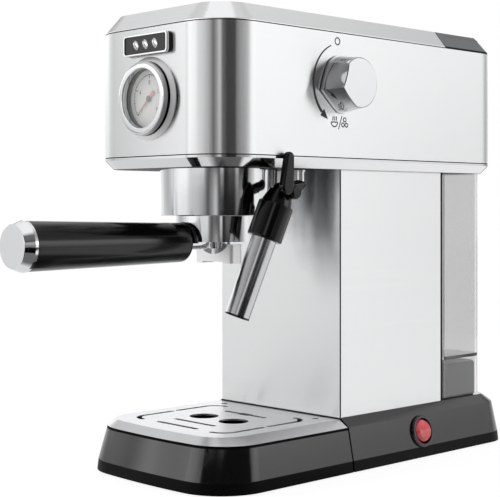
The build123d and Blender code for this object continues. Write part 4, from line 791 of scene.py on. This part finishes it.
def bow(shape, middle, radius, width, first=0, last=360, end_width=None):
    """A flat ring, or a bent stroke from one angle to another that may taper to an end width."""
    end_width = width if end_width is None else end_width
    centre = Vector((*middle, 0))
    first_aim = Vector((cos(radians(first)), sin(radians(first)), 0))
    last_aim = Vector((cos(radians(last)), sin(radians(last)), 0))
    for side in (-1, 1):
        widening = side * (end_width - width) / 2
        bmesh.ops.spin(
            shape,
            geom=[shape.verts.new(centre + first_aim * (radius + side * width / 2))],
            cent=centre + last_aim * widening / 2,
            axis=(0, 0, 1),
            angle=radians(last - first),
            steps=max(6, int(abs(last - first) / 5)),
            use_merge=last - first == 360,
        )
    loose = [e for e in shape.edges if not e.link_faces]
    bmesh.ops.bridge_loops(shape, edges=loose)


sleeve_low, sleeve_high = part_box("head_sleeve")
knob_low, knob_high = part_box("valve_spindle")
knob_axis = Vector((sleeve_high.x, (knob_low.y + knob_high.y) / 2, (knob_low.z + knob_high.z) / 2))
side_turn = Matrix(((0, 0, 1, 0), (1, 0, 0, 0), (0, 1, 0, 0), (0, 0, 0, 1)))
side_place = Matrix.Translation(knob_axis) @ side_turn
print_depth = 0.05 * mm
marks = bmesh.new()
bow(marks, middle=(-4.1 * mm, 29.7 * mm), radius=2.4 * mm, width=0.9 * mm)
bow(marks, middle=(0, 0), radius=28.3 * mm, width=0.8 * mm, first=112, last=226, end_width=2.7 * mm)
stroke(
    marks,
    start_point=(-19.6 * mm, -20.2 * mm),
    end_point=(-14.0 * mm, -24.9 * mm),
    start_width=6.2 * mm,
    end_width=0.1 * mm,
)
thicken(marks, print_depth)
add_piece("valve_scale", marks, side_place, print_ink, "chassis")

cup_x, cup_y = -7.2 * mm, -26.6 * mm
cup_radius = 3.2 * mm
cup_line = 0.85 * mm
steam_low, steam_high = -25.6 * mm, -22.6 * mm
steam_lean = 0.5 * mm
drop_line = 0.8 * mm
signs = bmesh.new()
bow(signs, middle=(cup_x, cup_y), radius=cup_radius, width=cup_line, first=180, last=360)
stroke(signs, (cup_x - cup_radius, cup_y), (cup_x + cup_radius, cup_y), cup_line, cup_line)
for offset in (-1.8 * mm, 0, 1.8 * mm):
    x = cup_x + offset
    stroke(signs, (x, steam_low), (x + steam_lean, steam_high), cup_line, cup_line)
stroke(signs, (-3.0 * mm, -31.4 * mm), (0.6 * mm, -22.0 * mm), drop_line, drop_line)
for x, y in ((3.4, -24.6), (1.6, -28.2), (5.2, -28.2)):
    bow(signs, middle=(x * mm, y * mm), radius=1.4 * mm, width=drop_line)
thicken(signs, print_depth)
add_piece("valve_signs", signs, side_place, print_ink, "chassis")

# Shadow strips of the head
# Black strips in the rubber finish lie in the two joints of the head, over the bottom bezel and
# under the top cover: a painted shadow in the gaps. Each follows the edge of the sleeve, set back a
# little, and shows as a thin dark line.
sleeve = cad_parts["head_sleeve"]
sleeve_middle = (sleeve_low + sleeve_high) / 2
sleeve_size = sleeve_high - sleeve_low
set_back = 0.25 * mm
shadow_strip_height = 0.7 * mm
cut_depth = 1 * mm
weld_gap = 0.01 * mm
shrink = (1 - 2 * set_back / sleeve_size.x, 1 - 2 * set_back / sleeve_size.y, 1)
# Painted shadow: a black strip in each joint of the head.
for name, cut_level, low_level in (
    ("bezel_shadow_strip", sleeve_low.z + cut_depth, sleeve_low.z - shadow_strip_height),
    ("cover_shadow_strip", sleeve_high.z - cut_depth, sleeve_high.z),
):
    strip = bmesh.new()
    strip.from_mesh(sleeve.data)
    bmesh.ops.transform(strip, matrix=sleeve.matrix_world, verts=strip.verts)
    bmesh.ops.remove_doubles(strip, verts=strip.verts, dist=weld_gap)
    bmesh.ops.bisect_plane(
        strip,
        geom=strip.verts[:] + strip.edges[:] + strip.faces[:],
        plane_co=(0, 0, cut_level),
        plane_no=(0, 0, 1),
        clear_inner=True,
        clear_outer=True,
    )
    bmesh.ops.bridge_loops(strip, edges=strip.edges)
    bmesh.ops.scale(strip, vec=shrink, space=Matrix.Translation(-sleeve_middle), verts=strip.verts)
    thicken(strip, shadow_strip_height)
    add_piece(name, strip, Matrix.Translation((0, 0, low_level - cut_level)), rubber, "chassis")

# Top cover
# The same stainless sheet as the sleeve, ground to an even satin: short fine lines across the
# machine. Each rounded corner of the slope has a brighter facet with darker lines beside it:
# painted highlight and shade.
scratch_length = 40 * mm
scratch_gap = 1.43 * mm
scratch_scale = (1 / scratch_length, 1 / scratch_gap, 1 / scratch_length)
corner_aim = (0.7, 0.714, 0)
satin_cap, tree, shader, coords = start("satin_stainless")
across = add(tree, "ShaderNodeMapping", {"Vector": coords.outputs["Object"], "Scale": scratch_scale})
lines = add(tree, "ShaderNodeTexNoise", {"Vector": across.outputs["Vector"], "Scale": 1.0, "Detail": 4})
tone = add(
    tree,
    "ShaderNodeMix",
    {"Factor": lines.outputs["Fac"], 6: linear("#DADBDC"), 7: linear("#E3E4E4")},
    data_type="RGBA",
)
facing = add(tree, "ShaderNodeVectorMath", {0: coords.outputs["Normal"]}, operation="ABSOLUTE")
turn = add(tree, "ShaderNodeVectorMath", {0: facing.outputs[0], 1: corner_aim}, operation="DOT_PRODUCT")
# Painted light and shade by the way each face turns: brighter on the rounded corners' diagonal, darker
# where a face turns square across or along.
painted_corner_light = add(tree, "ShaderNodeValToRGB", {"Fac": turn.outputs["Value"]})
stops = painted_corner_light.color_ramp.elements
stops.remove(stops[1])
stops[0].color = (1, 1, 1, 1)
for mark, level in ((0.54, 1.0), (0.62, 0.82), (0.715, 0.82), (0.735, 1.1)):
    stops.new(mark).color = (level, level, level, 1)
tone = add(
    tree,
    "ShaderNodeMix",
    {"Factor": 1.0, 6: tone.outputs[2], 7: painted_corner_light.outputs["Color"]},
    data_type="RGBA",
    blend_type="MULTIPLY",
)
dull = add(tree, "ShaderNodeMapRange", {"Value": lines.outputs["Fac"], "To Min": 0.25, "To Max": 0.34})
feed(shader, {"Metallic": 1.0, "Anisotropic": 0.4})
feed(shader, {"Base Color": tone.outputs[2], "Roughness": dull.outputs["Result"]})
dress(satin_cap, "top_cover")

# Tank lid
# Dark grey ABS, moulded with a fine satin grain. It lies loose over the tank and lifts off.
lid_grey, tree, shader, coords = start("grey_satin_abs")
grain, dull = mottle(tree, coords, size=0.909 * mm, detail=3, low=0.32, high=0.45)
tone = add(
    tree,
    "ShaderNodeMix",
    {"Factor": grain, 6: linear("#4C4D4F"), 7: linear("#585A5C")},
    data_type="RGBA",
)
rise = add(tree, "ShaderNodeBump", {"Height": grain, "Strength": 0.06, "Distance": 0.1 * mm})
feed(shader, {"Base Color": tone.outputs[2], "Roughness": dull, "Normal": rise.outputs["Normal"]})
dress(lid_grey, "tank_lid")

# Nameplate
# A zinc block, lacquered black in front. Its sides are pale towards the front and black over the back
# two millimetres, where they meet the sleeve: painted shade at its foot. Three plain coffee beans of
# bright metal lie in the rim, each a flattened, split dome.
plate_low, plate_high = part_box("nameplate")
# Painted shade: behind this level the sides are black, where the plate meets the sleeve.
plate_shade_level = plate_high.y - 2 * mm
lacquer, tree, shader, coords = start("black_lacquer")
facing = add(tree, "ShaderNodeSeparateXYZ", {"Vector": coords.outputs["Normal"]})
rear = add(tree, "ShaderNodeMapRange", {"Value": facing.outputs["Y"], "From Min": -0.9, "From Max": -0.6})
parts = add(tree, "ShaderNodeSeparateXYZ", {"Vector": coords.outputs["Object"]})
back = add(tree, "ShaderNodeMath", {0: parts.outputs["Y"], 1: plate_shade_level}, operation="GREATER_THAN")
shaded_sides = add(
    tree,
    "ShaderNodeMix",
    {"Factor": back.outputs[0], 6: linear("#D8D9DA"), 7: linear("#101011")},
    data_type="RGBA",
)
tone = add(
    tree,
    "ShaderNodeMix",
    {"Factor": rear.outputs["Result"], 6: linear("#121213"), 7: shaded_sides.outputs[2]},
    data_type="RGBA",
)
_, dull = mottle(tree, coords, size=2 * mm, detail=2, low=0.3, high=0.42)
feed(shader, {"Base Color": tone.outputs[2], "Roughness": dull})
dress(lacquer, "nameplate")

front_turn = Matrix(((1, 0, 0, 0), (0, 0, -1, 0), (0, 1, 0, 0), (0, 0, 0, 1)))
plate_place = Matrix.Translation((0, plate_low.y, (plate_low.z + plate_high.z) / 2)) @ front_turn
bean_half_size = (2.5 * mm, 3.7 * mm, 0.7 * mm)
bean_split = 0.22 * mm
cut_slack = 0.001 * mm
bean_pitch = 10 * mm
bean_turn = Matrix.Rotation(radians(35), 3, "Z")
beans = bmesh.new()
for spot in (-1, 0, 1):
    for side in (-1, 1):
        half = bmesh.new()
        bmesh.ops.create_uvsphere(half, u_segments=24, v_segments=12, radius=1)
        bmesh.ops.scale(half, vec=bean_half_size, verts=half.verts)
        for cut, cut_aim in (
            ((side * bean_split, 0, 0), (-side, 0, 0)),
            ((0, 0, 0), (0, 0, -1)),
        ):
            bmesh.ops.bisect_plane(
                half,
                geom=half.verts[:] + half.edges[:] + half.faces[:],
                dist=cut_slack,
                plane_co=cut,
                plane_no=cut_aim,
                clear_outer=True,
            )
            bmesh.ops.holes_fill(half, edges=half.edges)
        bmesh.ops.rotate(half, matrix=bean_turn, verts=half.verts)
        bmesh.ops.translate(half, vec=(spot * bean_pitch, 0, 0), verts=half.verts)
        part = bpy.data.meshes.new("bean_half")
        half.to_mesh(part)
        half.free()
        beans.from_mesh(part)
        bpy.data.meshes.remove(part)
add_piece("nameplate_beans", beans, plate_place, chrome, "chassis")

# Pressure gauge
# A white printed dial with fine strokes and plain figures behind a flat glass, in a chrome bezel
# with a satin flank, on a boss of bead-blasted steel; a painted shadow darkens the flank's foot to
# black. The needle is red, lightened to pale pink by a painted reflection of the glass; its hub is grey.
ring_low, ring_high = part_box("gauge_bezel")
hub = Vector((0, 0, (ring_low.z + ring_high.z) / 2))
flank_radius = (ring_high.x - ring_low.x) / 2 - 1 * mm
bezel_shadow_level = ring_high.y - 2.1 * mm
front_plane = (1, 0, 1)
ring_chrome, tree, shader, coords = start("satin_chrome")
parts = add(tree, "ShaderNodeSeparateXYZ", {"Vector": coords.outputs["Object"]})
flat = add(
    tree,
    "ShaderNodeVectorMath",
    {0: coords.outputs["Object"], 1: front_plane},
    operation="MULTIPLY",
)
reach = add(tree, "ShaderNodeVectorMath", {0: flat.outputs[0], 1: hub}, operation="DISTANCE")
outer = add(tree, "ShaderNodeMath", {0: reach.outputs["Value"], 1: flank_radius}, operation="GREATER_THAN")
low = add(tree, "ShaderNodeMath", {0: parts.outputs["Y"], 1: bezel_shadow_level}, operation="GREATER_THAN")
# Painted shadow: the bezel's outer flank is black over its back two millimetres.
bezel_shadow = add(tree, "ShaderNodeMath", {0: low.outputs[0], 1: outer.outputs[0]}, operation="MULTIPLY")
tone = add(
    tree,
    "ShaderNodeMix",
    {"Factor": bezel_shadow.outputs[0], 6: linear("#DADBDC"), 7: linear("#040404")},
    data_type="RGBA",
)
_, polish = mottle(tree, coords, size=buff_size, detail=3, low=0.1, high=0.16)
dull = add(tree, "ShaderNodeMapRange", {"Value": outer.outputs[0], "To Min": polish, "To Max": 0.5})
feed(shader, {"Metallic": 1.0, "Base Color": tone.outputs[2], "Roughness": dull.outputs["Result"]})
dress(ring_chrome, "gauge_bezel")

boss_steel, tree, shader, coords = start("bead_blasted_stainless")
blast, dull = mottle(tree, coords, size=0.667 * mm, detail=2, low=0.5, high=0.62)
tone = add(
    tree,
    "ShaderNodeMix",
    {"Factor": blast, 6: linear("#EDEDEE"), 7: linear("#F6F6F6")},
    data_type="RGBA",
)
feed(shader, {"Metallic": 1.0, "Base Color": tone.outputs[2], "Roughness": dull})
dress(boss_steel, "gauge_boss")

dial_white, tree, shader, coords = start("white_dial_paint")
speck, dull = mottle(tree, coords, size=1.11 * mm, detail=2, low=0.5, high=0.65)
tone = add(
    tree,
    "ShaderNodeMix",
    {"Factor": speck, 6: linear("#E9E9E7"), 7: linear("#F2F2F0")},
    data_type="RGBA",
)
feed(shader, {"Base Color": tone.outputs[2], "Roughness": dull})
dress(dial_white, "gauge_dial")

hub_radius = 2.4 * mm
speck_size = 0.833 * mm
needle_red, tree, shader, coords = start("red_needle_paint")
speck = add(
    tree,
    "ShaderNodeTexNoise",
    {"Vector": coords.outputs["Object"], "Scale": 1 / speck_size, "Detail": 2},
)
# Pale pink: the needle's red, lightened by a painted reflection of the glass.
tone = add(
    tree,
    "ShaderNodeMix",
    {"Factor": speck.outputs["Fac"], 6: linear("#D29496"), 7: linear("#DDA8A9")},
    data_type="RGBA",
)
flat = add(
    tree,
    "ShaderNodeVectorMath",
    {0: coords.outputs["Object"], 1: front_plane},
    operation="MULTIPLY",
)
reach = add(tree, "ShaderNodeVectorMath", {0: flat.outputs[0], 1: hub}, operation="DISTANCE")
cap = add(tree, "ShaderNodeMath", {0: reach.outputs["Value"], 1: hub_radius}, operation="LESS_THAN")
tone = add(
    tree,
    "ShaderNodeMix",
    {"Factor": cap.outputs[0], 6: tone.outputs[2], 7: linear("#77787A")},
    data_type="RGBA",
)
feed(shader, {"Base Color": tone.outputs[2], "Roughness": 0.45})
dress(needle_red, "gauge_needle")

clear_glass, tree, shader, coords = start("clear_flat_glass")
_, dull = mottle(tree, coords, size=5 * mm, detail=2, low=0.0, high=0.02)
feed(shader, {"Base Color": linear("#F6F9F8"), "Alpha": 0.12, "IOR": 1.5, "Roughness": dull})
dress(clear_glass, "gauge_lens")

dial_low, dial_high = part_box("gauge_dial")
dial_place = Matrix.Translation((0, dial_low.y, (dial_low.z + dial_high.z) / 2)) @ front_turn
scale_radius = 16.4 * mm
scale_from, scale_to = 221, -41
scale_steps = 32
main_inner, middle_inner, fine_inner = 13.8 * mm, 14.6 * mm, 15.0 * mm
main_line, fine_line = 0.7 * mm, 0.4 * mm
scale_marks = bmesh.new()
bow(scale_marks, middle=(0, 0), radius=scale_radius, width=fine_line, first=scale_to, last=scale_from)
for step in range(scale_steps + 1):
    angle = radians(scale_from + step * (scale_to - scale_from) / scale_steps)
    aim = Vector((cos(angle), sin(angle)))
    inner, width = fine_inner, fine_line
    if step % 8 == 0:
        inner, width = main_inner, main_line
    elif step % 4 == 0:
        inner = middle_inner
    stroke(scale_marks, aim * inner, aim * scale_radius, width, width)
thicken(scale_marks, print_depth)
add_piece("gauge_scale", scale_marks, dial_place, print_ink, "chassis")

figure_texts = ("0", "4", "8", "12", "16")
figure_size = 4.4 * mm
figure_radius = 11.0 * mm
figures = bmesh.new()
for step, text in enumerate(figure_texts):
    angle = radians(scale_from + step * (scale_to - scale_from) / (len(figure_texts) - 1))
    letters = bpy.data.curves.new("figure", "FONT")
    letters.body = text
    letters.size = figure_size
    letters.align_x = "CENTER"
    letters.align_y = "CENTER"
    letters.extrude = print_depth / 2
    letters.resolution_u = 4
    label = bpy.data.objects.new("figure", letters)
    flat = bpy.data.meshes.new_from_object(label)
    figure_place = (figure_radius * cos(angle), figure_radius * sin(angle), print_depth / 2)
    flat.transform(Matrix.Translation(figure_place))
    figures.from_mesh(flat)
    bpy.data.objects.remove(label)
    bpy.data.meshes.remove(flat)
    bpy.data.curves.remove(letters)
add_piece("gauge_figures", figures, dial_place, print_ink, "chassis")

# Filter basket, spout and frother tube
# Stainless cup and tube, drawn and turned to a fine satin. The spout is cast, and bead-blasted to
# the same pale grey as the gauge's boss.
turned_steel, tree, shader, coords = start("turned_stainless")
fine, dull = mottle(tree, coords, size=0.625 * mm, detail=3, low=0.17, high=0.25)
tone = add(
    tree,
    "ShaderNodeMix",
    {"Factor": fine, 6: linear("#B4B5B6"), 7: linear("#C9CACB")},
    data_type="RGBA",
)
feed(shader, {"Metallic": 1.0, "Base Color": tone.outputs[2], "Roughness": dull})
dress(turned_steel, "filter_basket", "frother_tube")
dress(boss_steel, "spout_block")

# Handle
# Black phenolic grip with a satin skin: a soft, long highlight along its upper side. The cap on its
# end is chromed like the trim, with its flat face spun to an even satin.
phenolic, tree, shader, coords = start("satin_black_phenolic")
grain, dull = mottle(tree, coords, size=1.43 * mm, detail=3, low=0.15, high=0.21)
rise = add(tree, "ShaderNodeBump", {"Height": grain, "Strength": 0.01, "Distance": 0.1 * mm})
feed(shader, {"Base Color": linear("#050506"), "IOR": 1.6, "Specular IOR Level": 0.34})
feed(shader, {"Roughness": dull, "Normal": rise.outputs["Normal"]})
dress(phenolic, "handle_grip", "thumb_guard")

cap_chrome, tree, shader, coords = start("spun_faced_chrome")
_, polish = mottle(tree, coords, size=buff_size, detail=3, low=0.05, high=0.11)
facing = add(tree, "ShaderNodeSeparateXYZ", {"Vector": coords.outputs["Normal"]})
dull = add(
    tree,
    "ShaderNodeMapRange",
    {"Value": facing.outputs["Y"], "From Min": -0.95, "From Max": -0.99, "To Min": polish, "To Max": 0.4},
)
feed(shader, {"Base Color": linear("#E2E3E4"), "Metallic": 1.0, "Roughness": dull.outputs["Result"]})
dress(cap_chrome, "handle_cap")

# Steam wand
# Gloss black nylon elbow and sleeve: polished moulds leave a sharp highlight. A thin black ring at
# the lower end of the frother tube is painted shade, for the dark open end.
wand_black, tree, shader, coords = start("gloss_black_nylon")
_, dull = mottle(tree, coords, size=6.67 * mm, detail=2, low=0.06, high=0.1)
feed(shader, {"Base Color": linear("#070708"), "IOR": 1.55, "Specular IOR Level": 0.28, "Roughness": dull})
dress(wand_black, "wand_elbow", "wand_sleeve")

tube_low, tube_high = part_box("frother_tube")
tube_radius = 8.6 * mm
tube_wall = 0.7 * mm
ring_height = 1.0 * mm
ring_offset = 27.0 * mm
lean = Vector((-11.5, -25.6, -74.8)).normalized()
tube_end = (tube_low + tube_high) / 2 + lean * ring_offset
# Painted shade: a black ring for the dark open end of the tube.
end_shade_ring = bmesh.new()
bow(end_shade_ring, middle=(0, 0), radius=tube_radius - tube_wall / 2, width=tube_wall)
thicken(end_shade_ring, ring_height)
ring_place = Matrix.Translation(tube_end) @ lean.to_track_quat("Z", "Y").to_matrix().to_4x4()
add_piece("frother_end_shade", end_shade_ring, ring_place, wand_black, "frother")
